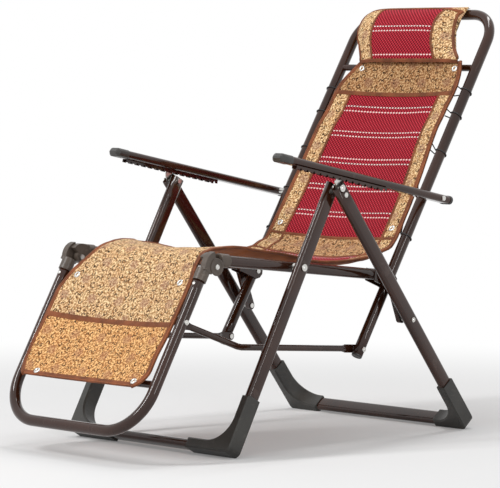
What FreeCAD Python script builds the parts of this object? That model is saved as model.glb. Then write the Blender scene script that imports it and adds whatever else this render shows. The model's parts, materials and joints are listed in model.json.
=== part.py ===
import FreeCAD
import Part
import Sketcher
import math
import os

Vector = FreeCAD.Vector
doc = FreeCAD.newDocument("FoldingLounger")

# Driving sizes in millimetres and degrees. Side view: +Y is towards the back, +Z is up, X is across.
SIZES = [
    ("apex_back", -31.95, "apex pivot, distance behind the origin"),
    ("apex_height", 646, "apex pivot above the floor"),
    ("front_reach", 349, "apex to front floor bar, forwards"),
    ("rear_reach", 500, "apex to rear floor bar, backwards"),
    ("bar_height", 20, "axis of the floor bars above the floor"),
    ("leg_wide", 40, "leg tube, long side of the oval"),
    ("leg_thick", 20, "leg tube, short side of the oval"),
    ("leg_wall", 1.5, "leg tube wall"),
    ("leg_bend", 62, "bend radius of the leg frames"),
    ("leg_overshoot", 8, "leg tube beyond the apex pivot"),
    ("front_leg_x", 276.5, "front leg plane"),
    ("leg_gap", 6, "gap between front and rear leg"),
    ("tube_dia", 28, "seat, back and footrest tube"),
    ("end_hollow", 60, "hollow length at a bent tube's open end"),
    ("tube_wall", 1.5, "wall of those tubes"),
    ("tube_x", 240, "plane of those tubes"),
    ("cross_dia", 18, "cross tubes"),
    ("seat_pivot_drop", 222.4, "apex to seat pivot, along the front leg"),
    ("swing_pivot_drop", 440.4, "apex to swing link pivot, along the rear leg"),
    ("seat_slope", 6.1, "seat rails fall towards the back, degrees"),
    ("knee_reach", 275, "seat pivot to knee, along the rail"),
    ("knee_drop", 17, "knee pivot below the rail axis"),
    ("hinge_reach", 370, "seat pivot to back pivot, along the rail"),
    ("hinge_drop", 14, "back pivot below the rail axis"),
    ("rail_setback", 28, "rail end short of the back pivot"),
    ("clevis_plate", 2, "rear clevis sheet"),
    ("clevis_wall_from", 3, "rear clevis wall starts above the back pivot"),
    ("clevis_lap", 42, "rear clevis, length along the rail"),
    ("clevis_up", 17, "rear clevis, half height on the rail"),
    ("clevis_eye", 17, "rear clevis, round lobe about the back pivot"),
    ("swing_reach", 340, "seat pivot to upper swing link pivot, along the rail"),
    ("back_angle", 57.76, "back above the level, degrees"),
    ("back_above", 820.5, "back pivot to the top bar"),
    ("back_below", 218, "back pivot to the lower tube end"),
    ("back_bend", 85, "bend radius of the back frame"),
    ("link_pin_drop", 200, "back pivot to the lower link pin"),
    ("back_cross_drop", 170, "top bar to the back cross tube"),
    ("foot_angle", 59.75, "footrest above the level, degrees"),
    ("foot_offset", 21, "footrest axis in front of the knee pivot"),
    ("foot_length", 457, "knee pivot to the bottom bar, along the tube"),
    ("foot_bend", 112, "bend radius of the footrest frame"),
    ("foot_cross_rise", 130, "bottom bar to the footrest cross tube"),
    ("foot_pin_drop", 160, "knee pivot to the footrest link pin"),
    ("ear_radius", 16, "knee elbow ear"),
    ("sleeve_wall", 3, "elbow sleeve wall"),
    ("sleeve_start", 17.5, "elbow sleeve, distance from the knee pivot plane"),
    ("sleeve_length", 32, "elbow sleeve length"),
    ("hood_sweep", 50, "elbow hood beyond the pivot plane, degrees"),
    ("link_dia", 16, "long link tube"),
    ("link_sag", 39, "bend of the long link below the line of its pins"),
    ("link_bend_at", 0.652, "bend of the long link, share of the way from the footrest pin"),
    ("tab_thick", 5, "flattened link end"),
    ("tab_gap", 2, "washer between link end and tube"),
    ("tab_taper", 14, "link tube, length of the pressed transition"),
    ("link_bend_radius", 60, "bend radius of the long link"),
    ("tab_length", 34, "flattened link end, length past the pin"),
    ("tab_wide", 21, "flattened link end, width"),
    ("arm_rise", 115.6, "front end of the armrest above the rear pivot level"),
    ("arm_reach", 608, "arm pivot to the front tip, level distance"),
    ("arm_behind", 42, "arm pivot to the rear tip"),
    ("arm_pivot_up", 251, "back pivot to arm pivot, along the back tube"),
    ("arm_x", 291.5, "armrest plane"),
    ("arm_wide", 40, "armrest tube, width"),
    ("arm_thick", 20, "armrest tube, height"),
    ("arm_cap", 42, "front cap length"),
    ("arm_plug", 12, "rear plug length"),
    ("rack_short", 15, "rack ends before the armrest cap"),
    ("rack_margin", 4, "rack beyond its last notch"),
    ("rack_depth", 7, "rack flange height"),
    ("rack_gap", 14, "clear width inside the rack"),
    ("rack_plate", 1.5, "rack sheet"),
    ("rack_pitch", 24, "rack notch pitch"),
    ("notch_wide", 9, "rack notch, mouth"),
    ("notch_deep", 4, "rack notch, depth"),
    ("finger_rivet", 22, "apex to finger rivet, along the rear leg"),
    ("finger_long", 60, "locking finger, end to end"),
    ("finger_clear", 3.7, "finger tip below the rack's web"),
    ("finger_lean", 9, "finger tip in front of the apex pivot"),
    ("finger_thick", 3, "locking finger sheet"),
    ("finger_wide", 24, "locking finger width"),
    ("swing_x", 264, "swing link, inner face of its web"),
    ("swing_wide", 22, "swing link channel width"),
    ("swing_deep", 12, "swing link channel depth"),
    ("swing_plate", 2, "swing link sheet"),
    ("pin_dia", 8, "pivot pins"),
    ("head_dia", 13, "rivet heads"),
    ("head_thick", 2.5, "rivet heads"),
    ("plug_lip", 4, "closed end of a tube plug"),
    ("plug_length", 12, "tube plug, length inside the tube"),
    ("arm_cap_wall", 1.2, "armrest cap and plug wall"),
    ("cap_solid", 9, "closed end of the armrest cap"),
    ("rack_notches", 14, "notches in the rack"),
    ("play", 0.1, "radial play of a pin in a moving piece"),
    ("seat_gap", 0.3, "gap between touching moving faces"),
    ("cover_wall", 3, "corner foot wall"),
    ("cover_round", 4, "corner foot, rim rounding"),
    ("front_sleeve_up", 138, "front foot, leg sleeve"),
    ("front_sleeve_in", 138, "front foot, bar sleeve"),
    ("rear_sleeve_up", 138, "rear foot, leg sleeve"),
    ("rear_sleeve_in", 92, "rear foot, bar sleeve"),
    ("cover_web", 66, "corner foot, inner web radius"),
    ("cover_corner", 16, "corner foot, outer corner radius"),
    ("mat_half", 231, "half width of the mat"),
    ("seat_mat_half", 223, "half width of the mat between the seat rails"),
    ("mat_gap", 1, "mat clear of the knee elbows"),
    ("mat_thick", 9, "mat thickness"),
    ("mat_sag", 22, "mat, drop of its middle"),
    ("pillow_half", 175, "half width of the head pillow"),
]

sheet = doc.addObject("Spreadsheet::Sheet", "Sizes")
for row, (alias, value, note) in enumerate(SIZES, start=1):
    sheet.set(f"A{row}", note)
    sheet.set(f"B{row}", str(value))
    sheet.setAlias(f"B{row}", alias)
doc.recompute()

PIECES = []
BEND_STEPS = 5


def size(alias):
    """Value of one driving size."""
    return float(sheet.get(alias))


class Dim:
    """A length that is known as a number and as an expression on the sheet."""

    def __init__(self, value, text):
        self.value = value
        self.text = text

    @staticmethod
    def of(other):
        return other if isinstance(other, Dim) else Dim(float(other), str(other))

    def joined(self, other, sign, value):
        return Dim(value, f"({self.text} {sign} {other.text})")

    def __add__(self, other):
        other = Dim.of(other)
        return self.joined(other, "+", self.value + other.value)

    def __sub__(self, other):
        other = Dim.of(other)
        return self.joined(other, "-", self.value - other.value)

    def __rsub__(self, other):
        return Dim.of(other) - self

    def __mul__(self, other):
        other = Dim.of(other)
        return self.joined(other, "*", self.value * other.value)

    def __truediv__(self, other):
        other = Dim.of(other)
        return self.joined(other, "/", self.value / other.value)

    def __neg__(self):
        return Dim(-self.value, f"(0 - {self.text})")

    __radd__ = __add__
    __rmul__ = __mul__


def dim(alias):
    """Driving size as a number with its expression."""
    return Dim(size(alias), f"Sizes.{alias}")


def keep(piece, label):
    """Register a finished sub-part under its node name."""
    piece.Label = label
    PIECES.append(piece)
    return piece


def turned(degrees, base):
    """Placement that leans local Y upwards by an angle about X and moves it to a point."""
    return FreeCAD.Placement(base, FreeCAD.Rotation(Vector(1, 0, 0), degrees))


def side(y, z):
    """Point of the side view as a vector with no sideways part."""
    return Vector(0, y, z)


def along(degrees):
    """Unit vector in the side view, counted from +Y upwards."""
    return side(math.cos(math.radians(degrees)), math.sin(math.radians(degrees)))


def rotated(vector, degrees):
    """Vector turned about X."""
    return FreeCAD.Rotation(Vector(1, 0, 0), degrees).multVec(vector)


# Joint centres in the side view, from the driving sizes.
APEX = side(size("apex_back"), size("apex_height"))
FRONT_BAR = side(APEX.y - size("front_reach"), size("bar_height"))
REAR_BAR = side(APEX.y + size("rear_reach"), size("bar_height"))
FRONT_UP = (APEX - FRONT_BAR).normalize()
REAR_UP = (APEX - REAR_BAR).normalize()
SEAT_PIVOT = APEX - FRONT_UP * size("seat_pivot_drop")
SWING_PIVOT = APEX - REAR_UP * size("swing_pivot_drop")
RAIL_BACK = along(-size("seat_slope"))
RAIL_UP = along(90 - size("seat_slope"))
KNEE = SEAT_PIVOT - RAIL_BACK * size("knee_reach") - RAIL_UP * size("knee_drop")
HINGE = SEAT_PIVOT + RAIL_BACK * size("hinge_reach") - RAIL_UP * size("hinge_drop")
SWING_TOP = SEAT_PIVOT + RAIL_BACK * size("swing_reach")
BACK_UP = along(size("back_angle"))
LINK_BACK = HINGE - BACK_UP * size("link_pin_drop")
FOOT_UP = along(size("foot_angle"))
FOOT_OUT = along(size("foot_angle") + 90)
LINK_FRONT = KNEE + FOOT_OUT * size("foot_offset") - FOOT_UP * size("foot_pin_drop")
ARM_PIVOT = HINGE + BACK_UP * size("arm_pivot_up")
ARM_FRONT = side(-size("arm_reach"), size("arm_rise")).normalize()
ARM_UP = rotated(ARM_FRONT, -90)
REAR_LEG_X = size("front_leg_x") + size("leg_thick") + size("leg_gap")
SIDES = (("left", 1), ("right", -1))


def origin_plane(body, role):
    """One of a body's own origin planes."""
    return next(f for f in body.Origin.OriginFeatures if f.Role == role)


def new_sketch(body, name, role, offset=Vector()):
    """Sketch on an origin plane of its own body."""
    sketch = body.newObject("Sketcher::SketchObject", name)
    sketch.AttachmentSupport = (origin_plane(body, role), "")
    sketch.MapMode = "FlatFace"
    sketch.AttachmentOffset = FreeCAD.Placement(offset, FreeCAD.Rotation())
    return sketch


def bind(sketch, kind, arguments, length):
    """Add one dimension to a sketch and tie it to the sheet."""
    index = sketch.addConstraint(Sketcher.Constraint(kind, *arguments, length.value))
    sketch.setExpression(f"Constraints[{index}]", length.text)


def ring(sketch, radius, x=None, y=None):
    """Circle tied to the sheet, on the sketch origin or at a given place."""
    place = Vector(x.value if x else 0, y.value if y else 0, 0)
    circle = sketch.addGeometry(Part.Circle(place, Vector(0, 0, 1), radius.value), False)
    bind(sketch, "Radius", (circle,), radius)
    if x is None:
        sketch.addConstraint(Sketcher.Constraint("PointOnObject", circle, 3, -2))
    else:
        bind(sketch, "DistanceX", (-1, 1, circle, 3), x)
    if y is None:
        sketch.addConstraint(Sketcher.Constraint("PointOnObject", circle, 3, -1))
    else:
        bind(sketch, "DistanceY", (-1, 1, circle, 3), y)


def oval(sketch, wide, thick, upright):
    """Flat oval about the sketch origin, its long side upright or level."""
    radius = thick / 2
    flat = (wide - thick) / 2
    far, near = ("DistanceY", "DistanceX") if upright else ("DistanceX", "DistanceY")

    def spot(a, b):
        return Vector(b, a, 0) if upright else Vector(a, b, 0)

    lines = []
    for sign in (1, -1):
        ends = spot(-flat.value, sign * radius.value), spot(flat.value, sign * radius.value)
        line = sketch.addGeometry(Part.LineSegment(*ends), False)
        for end, across in ((1, -flat), (2, flat)):
            bind(sketch, far, (-1, 1, line, end), across)
            bind(sketch, near, (-1, 1, line, end), radius if sign > 0 else -radius)
        lines.append(line)
    turn = 0 if upright else -math.pi / 2
    for end, across in ((1, -flat), (2, flat)):
        start = turn if end == 2 else turn + math.pi
        round_end = Part.Circle(spot(across.value, 0), Vector(0, 0, 1), radius.value)
        arc = sketch.addGeometry(Part.ArcOfCircle(round_end, start, start + math.pi), False)
        first = lines[0] if (end == 2) == upright else lines[1]
        second = lines[1] if first == lines[0] else lines[0]
        sketch.addConstraint(Sketcher.Constraint("Coincident", first, end, arc, 1))
        sketch.addConstraint(Sketcher.Constraint("Coincident", second, end, arc, 2))
        bind(sketch, far, (-1, 1, arc, 3), across)


def corners(sketch, points):
    """Closed outline of straight lines whose corners are tied to the sheet."""
    points = [(Dim.of(x), Dim.of(y)) for x, y in points]
    places = [Vector(x.value, y.value, 0) for x, y in points]
    count = len(points)
    for index in range(count):
        sketch.addGeometry(Part.LineSegment(places[index], places[(index + 1) % count]), False)
    for index in range(count):
        sketch.addConstraint(Sketcher.Constraint("Coincident", index, 2, (index + 1) % count, 1))
    for index, (x, y) in enumerate(points):
        bind(sketch, "DistanceX", (-1, 1, index, 1), x)
        bind(sketch, "DistanceY", (-1, 1, index, 1), y)


def u_spine(body, half, length, bend):
    """Centre line of a U frame: bar along X at the origin, legs up along Y, bends as short mitred runs."""
    sketch = new_sketch(body, "CentreLine", "XY_Plane")
    step = 90 / BEND_STEPS
    stretch = 1 / math.cos(math.radians(step / 2))
    side_points = [(half, length)]
    for index in range(BEND_STEPS):
        angle = math.radians(step * (index + 0.5))
        inward = bend * (1 - stretch * math.cos(angle))
        side_points.append((half - inward, bend * (1 - stretch * math.sin(angle))))
    points = side_points + [(-x, y) for x, y in side_points[::-1]]
    places = [Vector(x.value, y.value, 0) for x, y in points]
    for start, end in zip(places, places[1:]):
        sketch.addGeometry(Part.LineSegment(start, end), False)
    for index in range(len(places) - 2):
        sketch.addConstraint(Sketcher.Constraint("Coincident", index, 2, index + 1, 1))
    for index, (x, y) in enumerate(points[:-1] + points[-1:]):
        line, end = (index, 1) if index < len(places) - 1 else (index - 1, 2)
        bind(sketch, "DistanceX", (-1, 1, line, end), x)
        bind(sketch, "DistanceY", (-1, 1, line, end), y)
    return sketch


def start_sketch(body, name, half, length):
    """Section sketch square to the first leg's open end."""
    sketch = new_sketch(body, name, "XZ_Plane", Vector(half.value, 0, -length.value))
    sketch.setExpression("AttachmentOffset.Base.x", half.text)
    sketch.setExpression("AttachmentOffset.Base.z", (-length).text)
    return sketch


def side_holes(body, name, radius, heights):
    """Bores right through both legs of a U frame, along X."""
    sketch = new_sketch(body, name + "Sketch", "YZ_Plane")
    for y, z in heights:
        ring(sketch, radius, Dim.of(y), z)
    pocket = body.newObject("PartDesign::Pocket", name)
    pocket.Profile = sketch
    pocket.Type = "ThroughAll"
    pocket.Midplane = True
    return pocket


def u_frame(label, half, length, bend, outside, inside, bores, placement):
    """Bent tube frame, hollow at its open ends; bores lists the pivot holes."""
    body = doc.addObject("PartDesign::Body", label)
    spine = u_spine(body, half, length, bend)
    section = start_sketch(body, "TubeOutside", half, length)
    outside(section)
    pipe = body.newObject("PartDesign::AdditivePipe", "Tube")
    pipe.Profile = section
    pipe.Spine = (spine, [f"Edge{n + 1}" for n in range(len(spine.Geometry))])
    pipe.Transition = "Right corner"
    hollow = start_sketch(body, "TubeInside", half, length)
    inside(hollow)
    pocket = body.newObject("PartDesign::Pocket", "OpenEnd")
    pocket.Profile = hollow
    pocket.Reversed = True
    pocket.setExpression("Length", "Sizes.end_hollow")
    ends = body.newObject("PartDesign::Mirrored", "OpenEnds")
    ends.Originals = [pocket]
    ends.MirrorPlane = (origin_plane(body, "YZ_Plane"), [""])
    body.Tip = ends
    for name, radius, heights in bores:
        side_holes(body, name, radius, heights)
    body.Placement = placement
    return keep(body, label)


def leg_outside(sketch):
    oval(sketch, dim("leg_wide"), dim("leg_thick"), True)


def leg_inside(sketch):
    oval(sketch, dim("leg_wide") - 2 * dim("leg_wall"), dim("leg_thick") - 2 * dim("leg_wall"), True)


def round_outside(sketch):
    ring(sketch, dim("tube_dia") / 2)


def round_inside(sketch):
    ring(sketch, dim("tube_dia") / 2 - dim("tube_wall"))


def hypot_dim(a, b):
    """Length of a slant, from its two legs."""
    return Dim(math.hypot(a.value, b.value), f"sqrt({a.text}^2 + {b.text}^2)")


def straight_tube(label, outside, length, bores, placement):
    """Straight closed tube along local Y from the origin, drawn solid."""
    body = doc.addObject("PartDesign::Body", label)
    section = new_sketch(body, "Section", "XZ_Plane")
    outside(section)
    pad = body.newObject("PartDesign::Pad", "Tube")
    pad.Profile = section
    pad.Reversed = True
    pad.setExpression("Length", length.text)
    for name, radius, heights in bores:
        side_holes(body, name, radius, heights)
    body.Placement = placement
    return keep(body, label)


def turned_part(label, steps, start, sign):
    """Turned piece along X: steps lists distance and radius, starting and ending on the axis."""
    body = doc.addObject("PartDesign::Body", label)
    profile = new_sketch(body, "Profile", "XY_Plane")
    corners(profile, [(steps[0][0], Dim.of(0))] + steps + [(steps[-1][0], Dim.of(0))])
    spin = body.newObject("PartDesign::Revolution", "Turning")
    spin.Profile = profile
    spin.ReferenceAxis = (profile, ["H_Axis"])
    spin.Angle = 360
    turn = FreeCAD.Rotation() if sign > 0 else FreeCAD.Rotation(Vector(0, 0, 1), 180)
    body.Placement = FreeCAD.Placement(start, turn)
    return body


def turned_pair(label, steps, point, inner_x):
    """Two alike turned pieces, one on each side, kept as one node."""
    both = doc.addObject("Part::Compound", label)
    both.Links = [turned_part(f"{label}_{name}", steps, at_x(point, sign * inner_x), sign)
                  for name, sign in SIDES]
    return keep(both, label)


def mirrored_pair(label, left):
    """A piece and its mirror image across the middle plane, kept as one node."""
    right = doc.addObject("Part::Mirroring", label + "_right")
    right.Source = left
    right.Normal = Vector(1, 0, 0)
    both = doc.addObject("Part::Compound", label)
    both.Links = [left, right]
    return keep(both, label)


def rivet_steps(reach):
    """Rivet with two low heads and a plain shank of the given length."""
    head = dim("head_thick")
    wide = dim("head_dia") / 2
    return [(-head, wide), (Dim.of(0), wide), (Dim.of(0), pin_radius),
            (reach, pin_radius), (reach, wide), (reach + head, wide)]


def at_x(point, x):
    """Side view point moved out to a plane."""
    return Vector(x, point.y, point.z)


def both_sides(maker):
    """Make the left and the right one of a pair."""
    for name, sign in SIDES:
        maker(name, sign)


def feature(label, shape):
    """Sub-part whose shape is worked out here."""
    piece = doc.addObject("Part::Feature", label)
    piece.Shape = shape
    return keep(piece, label)


def disc(centre, radius, x_low, x_high):
    """Round slab across X."""
    return Part.makeCylinder(radius, x_high - x_low, at_x(centre, x_low), Vector(1, 0, 0))


def slab(points, x_low, x_high):
    """Side view outline of straight lines, extruded across X."""
    spots = [at_x(point, x_low) for point in points]
    return Part.Face(Part.makePolygon(spots + [spots[0]])).extrude(Vector(x_high - x_low, 0, 0))


pin_radius = dim("pin_dia") / 2
loose_radius = pin_radius + dim("play")
front_length = hypot_dim(dim("front_reach"), dim("apex_height") - dim("bar_height"))
rear_length = hypot_dim(dim("rear_reach"), dim("apex_height") - dim("bar_height"))
rear_leg_x = dim("front_leg_x") + dim("leg_thick") + dim("leg_gap")


def lean(up):
    """Angle of a side view direction above +Y."""
    return math.degrees(math.atan2(up.z, up.y))


# Leg frames.
front_frame = u_frame(
    "front_leg_frame", dim("front_leg_x"), front_length + dim("leg_overshoot"), dim("leg_bend"),
    leg_outside, leg_inside,
    [("PivotBores", pin_radius, [(front_length, None), (front_length - dim("seat_pivot_drop"), None)])],
    turned(lean(FRONT_UP), FRONT_BAR))
rear_frame = u_frame(
    "rear_leg_frame", rear_leg_x, rear_length + dim("leg_overshoot"), dim("leg_bend"),
    leg_outside, leg_inside,
    [("ApexBores", loose_radius, [(rear_length, None)]),
     ("RivetBores", pin_radius, [(rear_length - dim("finger_rivet"), None),
                                 (rear_length - dim("swing_pivot_drop"), None)])],
    turned(lean(REAR_UP), REAR_BAR))


def frame_corner(half, length, placement):
    """Plain outside of one corner of a leg frame, to hollow a foot with."""
    radius = size("leg_thick") / 2
    flat = size("leg_wide") / 2 - radius
    bend = size("leg_bend")
    spots = [Vector(0, y, z) for y, z in ((-radius, -flat), (-radius, flat), (radius, flat), (radius, -flat))]
    section = Part.Wire([
        Part.LineSegment(spots[0], spots[1]).toShape(),
        Part.Arc(spots[1], Vector(0, 0, flat + radius), spots[2]).toShape(),
        Part.LineSegment(spots[2], spots[3]).toShape(),
        Part.Arc(spots[3], Vector(0, 0, -flat - radius), spots[0]).toShape()])
    step = 90 / BEND_STEPS
    reach = bend / math.cos(math.radians(step / 2))
    points = [Vector()]
    for index in range(BEND_STEPS):
        angle = math.radians(step * (BEND_STEPS - index - 0.5))
        points.append(Vector(half - bend + reach * math.cos(angle), bend - reach * math.sin(angle), 0))
    points.append(Vector(half, length, 0))
    path = Part.makePolygon(points)
    solid = path.makePipeShell([section], True, False, 1)
    solid.Placement = placement.multiply(solid.Placement)
    return solid


def corner_feet(label, half, sleeve_up, sleeve_in, placement):
    """Moulded feet: sleeves up the leg and along the bar, a curved web between, cut flat at the floor."""
    wall = size("cover_wall")
    reach = size("leg_thick") / 2 + wall
    web = size("cover_web")
    corner = size("cover_corner")
    outer = half + reach
    inner = half - reach
    shrink = corner * (1 - math.sqrt(0.5))
    bow = web * math.sqrt(0.5)
    centre = Vector(inner - web, reach + web, 0)
    spots = [Vector(outer, sleeve_up, 0), Vector(outer, corner - reach, 0),
             Vector(outer - shrink, shrink - reach, 0), Vector(outer - corner, -reach, 0),
             Vector(half - sleeve_in, -reach, 0), Vector(half - sleeve_in, reach, 0),
             Vector(inner - web, reach, 0), centre + Vector(bow, -bow, 0),
             Vector(inner, reach + web, 0), Vector(inner, sleeve_up, 0)]
    edges = [Part.LineSegment(spots[0], spots[1]), Part.Arc(spots[1], spots[2], spots[3]),
             Part.LineSegment(spots[3], spots[4]), Part.LineSegment(spots[4], spots[5]),
             Part.LineSegment(spots[5], spots[6]), Part.Arc(spots[6], spots[7], spots[8]),
             Part.LineSegment(spots[8], spots[9]), Part.LineSegment(spots[9], spots[0])]
    depth = size("leg_wide") + 2 * wall
    block = Part.Face(Part.Wire([edge.toShape() for edge in edges])).extrude(Vector(0, 0, depth))
    block.translate(Vector(0, 0, -depth / 2))
    rims = [edge for edge in block.Edges if abs(abs(edge.CenterOfMass.z) - depth / 2) < 0.01]
    block = block.makeChamfer(size("cover_round"), rims)
    block.Placement = placement.multiply(block.Placement)
    below = Part.makeBox(4 * half, 4 * half, depth, Vector(-2 * half, placement.Base.y - 2 * half, -depth))
    tube = frame_corner(half, 2 * sleeve_up, placement)
    left = doc.addObject("Part::Feature", label + "_left")
    left.Shape = block.cut(below).cut(tube)
    return mirrored_pair(label, left)


corner_feet("front_feet", size("front_leg_x"), size("front_sleeve_up"), size("front_sleeve_in"),
            front_frame.Placement)
corner_feet("rear_feet", REAR_LEG_X, size("rear_sleeve_up"), size("rear_sleeve_in"), rear_frame.Placement)


def make_leg_pins():
    """Apex rivets, seat pivot bolts, finger rivets and swing link rivets."""
    rim = dim("leg_thick")
    inside_front = size("front_leg_x") - size("leg_thick") / 2
    gap = dim("seat_gap")
    washer = dim("head_dia") * 0.75
    head = dim("head_thick")
    wide = dim("head_dia") / 2
    near = [(-head, wide), (Dim.of(0), wide), (Dim.of(0), pin_radius)]

    def far(at):
        return [(at, pin_radius), (at, wide), (at + head, wide)]

    across = rim * 2 + dim("leg_gap")
    steps = near + [(rim, pin_radius), (rim, washer), (rim + dim("leg_gap") - gap, washer),
                    (rim + dim("leg_gap") - gap, pin_radius)] + far(across + gap)
    turned_pair("apex_rivets", steps, APEX, inside_front)
    through = dim("tube_dia") + gap * 2
    spacer = through + dim("front_leg_x") - rim / 2 - dim("tube_x") - dim("tube_dia") / 2 - gap
    steps = near + [(through, pin_radius), (through, washer), (spacer, washer), (spacer, pin_radius)]
    turned_pair("seat_pivot_bolts", steps + far(spacer + rim), SEAT_PIVOT,
                size("tube_x") - size("tube_dia") / 2 - size("seat_gap"))
    turned_pair("finger_rivets", rivet_steps(rim), APEX - REAR_UP * size("finger_rivet"),
                REAR_LEG_X - size("leg_thick") / 2)
    lift = dim("swing_plate") + gap * 2
    spacer = lift + rear_leg_x - rim / 2 - dim("swing_x") - dim("swing_plate") - gap
    steps = near + [(lift, pin_radius), (lift, wide), (spacer, wide), (spacer, pin_radius)]
    turned_pair("swing_rivets", steps + far(spacer + rim), SWING_PIVOT, size("swing_x") - size("seat_gap"))


make_leg_pins()


def make_fingers():
    """Sheet fingers that stand in the open tops of the rear legs and carry the armrests."""
    body = doc.addObject("PartDesign::Body", "locking_finger")
    blade = new_sketch(body, "Blade", "YZ_Plane")
    oval(blade, dim("finger_long"), dim("finger_wide"), False)
    pad = body.newObject("PartDesign::Pad", "Sheet")
    pad.Profile = blade
    pad.Midplane = True
    pad.setExpression("Length", "Sizes.finger_thick")
    rivet = APEX - REAR_UP * size("finger_rivet")
    tip_y = APEX.y - size("finger_lean")
    on_arm = ARM_PIVOT + ARM_FRONT * ((tip_y - ARM_PIVOT.y) / ARM_FRONT.y)
    below = size("arm_thick") / 2 + size("rack_plate") + size("finger_clear")
    tip = on_arm + Vector(0, 0, below / ARM_FRONT.y)
    up = (tip - rivet).normalize()
    level = rotated(up, 90)
    centre = tip - up * (size("finger_long") / 2)
    for label, spot, radius in (("RivetBore", rivet, pin_radius), ("ApexBore", APEX, loose_radius)):
        from_centre = spot - centre
        side_holes(body, label, radius, [(Dim.of(from_centre.dot(up)), Dim.of(from_centre.dot(level)))])
    body.Placement = turned(lean(up), at_x(centre, REAR_LEG_X))
    mirrored_pair("locking_fingers", body)


make_fingers()


def make_swing_links():
    """Short channel links with rounded ends, open towards the legs."""
    body = doc.addObject("PartDesign::Body", "swing_link")
    run = SWING_TOP - SWING_PIVOT
    outside = new_sketch(body, "Outside", "YZ_Plane")
    wide = dim("swing_wide")
    span = Dim(run.Length, str(round(run.Length, 4)))
    oval(outside, span + wide, wide, False)
    pad = body.newObject("PartDesign::Pad", "Channel")
    pad.Profile = outside
    pad.setExpression("Length", "Sizes.swing_deep")
    inside = new_sketch(body, "Inside", "YZ_Plane", Vector(0, 0, size("swing_plate")))
    inside.setExpression("AttachmentOffset.Base.z", "Sizes.swing_plate")
    oval(inside, span + wide - 2 * dim("swing_plate"), wide - 2 * dim("swing_plate"), False)
    pocket = body.newObject("PartDesign::Pocket", "Trough")
    pocket.Profile = inside
    pocket.Type = "ThroughAll"
    pocket.Reversed = True
    side_holes(body, "PivotBores", loose_radius, [(span / 2, None), (-span / 2, None)])
    centre = (SWING_TOP + SWING_PIVOT) * 0.5
    body.Placement = turned(lean(run), at_x(centre, size("swing_x")))
    mirrored_pair("swing_links", body)


make_swing_links()

# Seat rails, clevis brackets and the pins they carry.
def rail_place(x):
    """Placement of a seat rail, local Y running backwards from its front end."""
    front = SEAT_PIVOT - RAIL_BACK * (size("knee_reach") - size("sleeve_start") - size("sleeve_wall"))
    return turned(-size("seat_slope"), at_x(front, x))


def make_rail(name, sign):
    front_part = dim("knee_reach") - dim("sleeve_start") - dim("sleeve_wall")
    length = front_part + dim("hinge_reach") - dim("rail_setback")
    straight_tube("seat_rail_" + name, round_outside, length,
                  [("SeatPivotBore", loose_radius, [(front_part, None)])], rail_place(sign * size("tube_x")))


both_sides(make_rail)


def make_clevises():
    """Sheet clevises on the rear ends of the rails: two cheeks round the back tube and a wall between."""
    body = doc.addObject("PartDesign::Body", "rear_clevis")
    cheek = new_sketch(body, "Cheek", "YZ_Plane")
    drop = dim("hinge_drop")
    eye = dim("clevis_eye")
    lap = -dim("rail_setback") - dim("clevis_lap")
    top = drop + dim("clevis_up")
    outline = [(lap, top - 2), (lap, drop - dim("clevis_up")), (-eye, -eye), (-eye * 0.4, -eye * 1.3),
               (eye * 0.5, -eye), (eye, -eye * 0.4), (eye, eye * 0.5), (eye * 0.5, eye),
               (-dim("rail_setback") + dim("clevis_plate"), top - 2)]
    corners(cheek, outline)
    pad = body.newObject("PartDesign::Pad", "Cheeks")
    pad.Profile = cheek
    pad.Midplane = True
    wide = dim("tube_dia") + 2 * dim("seat_gap") + 2 * dim("clevis_plate")
    pad.setExpression("Length", wide.text)
    gap = dim("tube_dia") / 2 + dim("seat_gap")
    wall = -dim("rail_setback")
    for label, low, high in (("BackSlot", wall + dim("clevis_plate"), eye * 2), ("RailSlot", lap - 5, wall)):
        slot = new_sketch(body, label + "Sketch", "XY_Plane")
        corners(slot, [(-gap, low), (gap, low), (gap, high), (-gap, high)])
        pocket = body.newObject("PartDesign::Pocket", label)
        pocket.Profile = slot
        pocket.Type = "ThroughAll"
        pocket.Midplane = True
    foot = new_sketch(body, "WallFootSketch", "XY_Plane", Vector(0, 0, size("clevis_wall_from")))
    foot.setExpression("AttachmentOffset.Base.z", "Sizes.clevis_wall_from")
    corners(foot, [(-gap, wall - 1), (gap, wall - 1), (gap, wall + dim("clevis_plate") + 1),
                   (-gap, wall + dim("clevis_plate") + 1)])
    lower = body.newObject("PartDesign::Pocket", "WallFoot")
    lower.Profile = foot
    lower.Type = "ThroughAll"
    side_holes(body, "PivotBores", pin_radius, [(Dim.of(0), None)])
    body.Placement = turned(-size("seat_slope"), at_x(HINGE, size("tube_x")))
    mirrored_pair("rear_clevises", body)


make_clevises()


def make_hinge_pins():
    """Back pivot bolts and the bosses that the swing links turn on."""
    half = dim("tube_dia") / 2 + dim("seat_gap") + dim("clevis_plate")
    turned_pair("back_pivot_bolts", rivet_steps(half * 2), HINGE, size("tube_x") - half.value)
    outer = dim("tube_x") + half
    boss = dim("swing_x") - outer - dim("seat_gap")
    radius = dim("head_dia") / 2
    turned_pair("swing_bosses", [(Dim.of(0), radius), (boss, radius)], SWING_TOP, outer.value)


make_hinge_pins()


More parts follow.
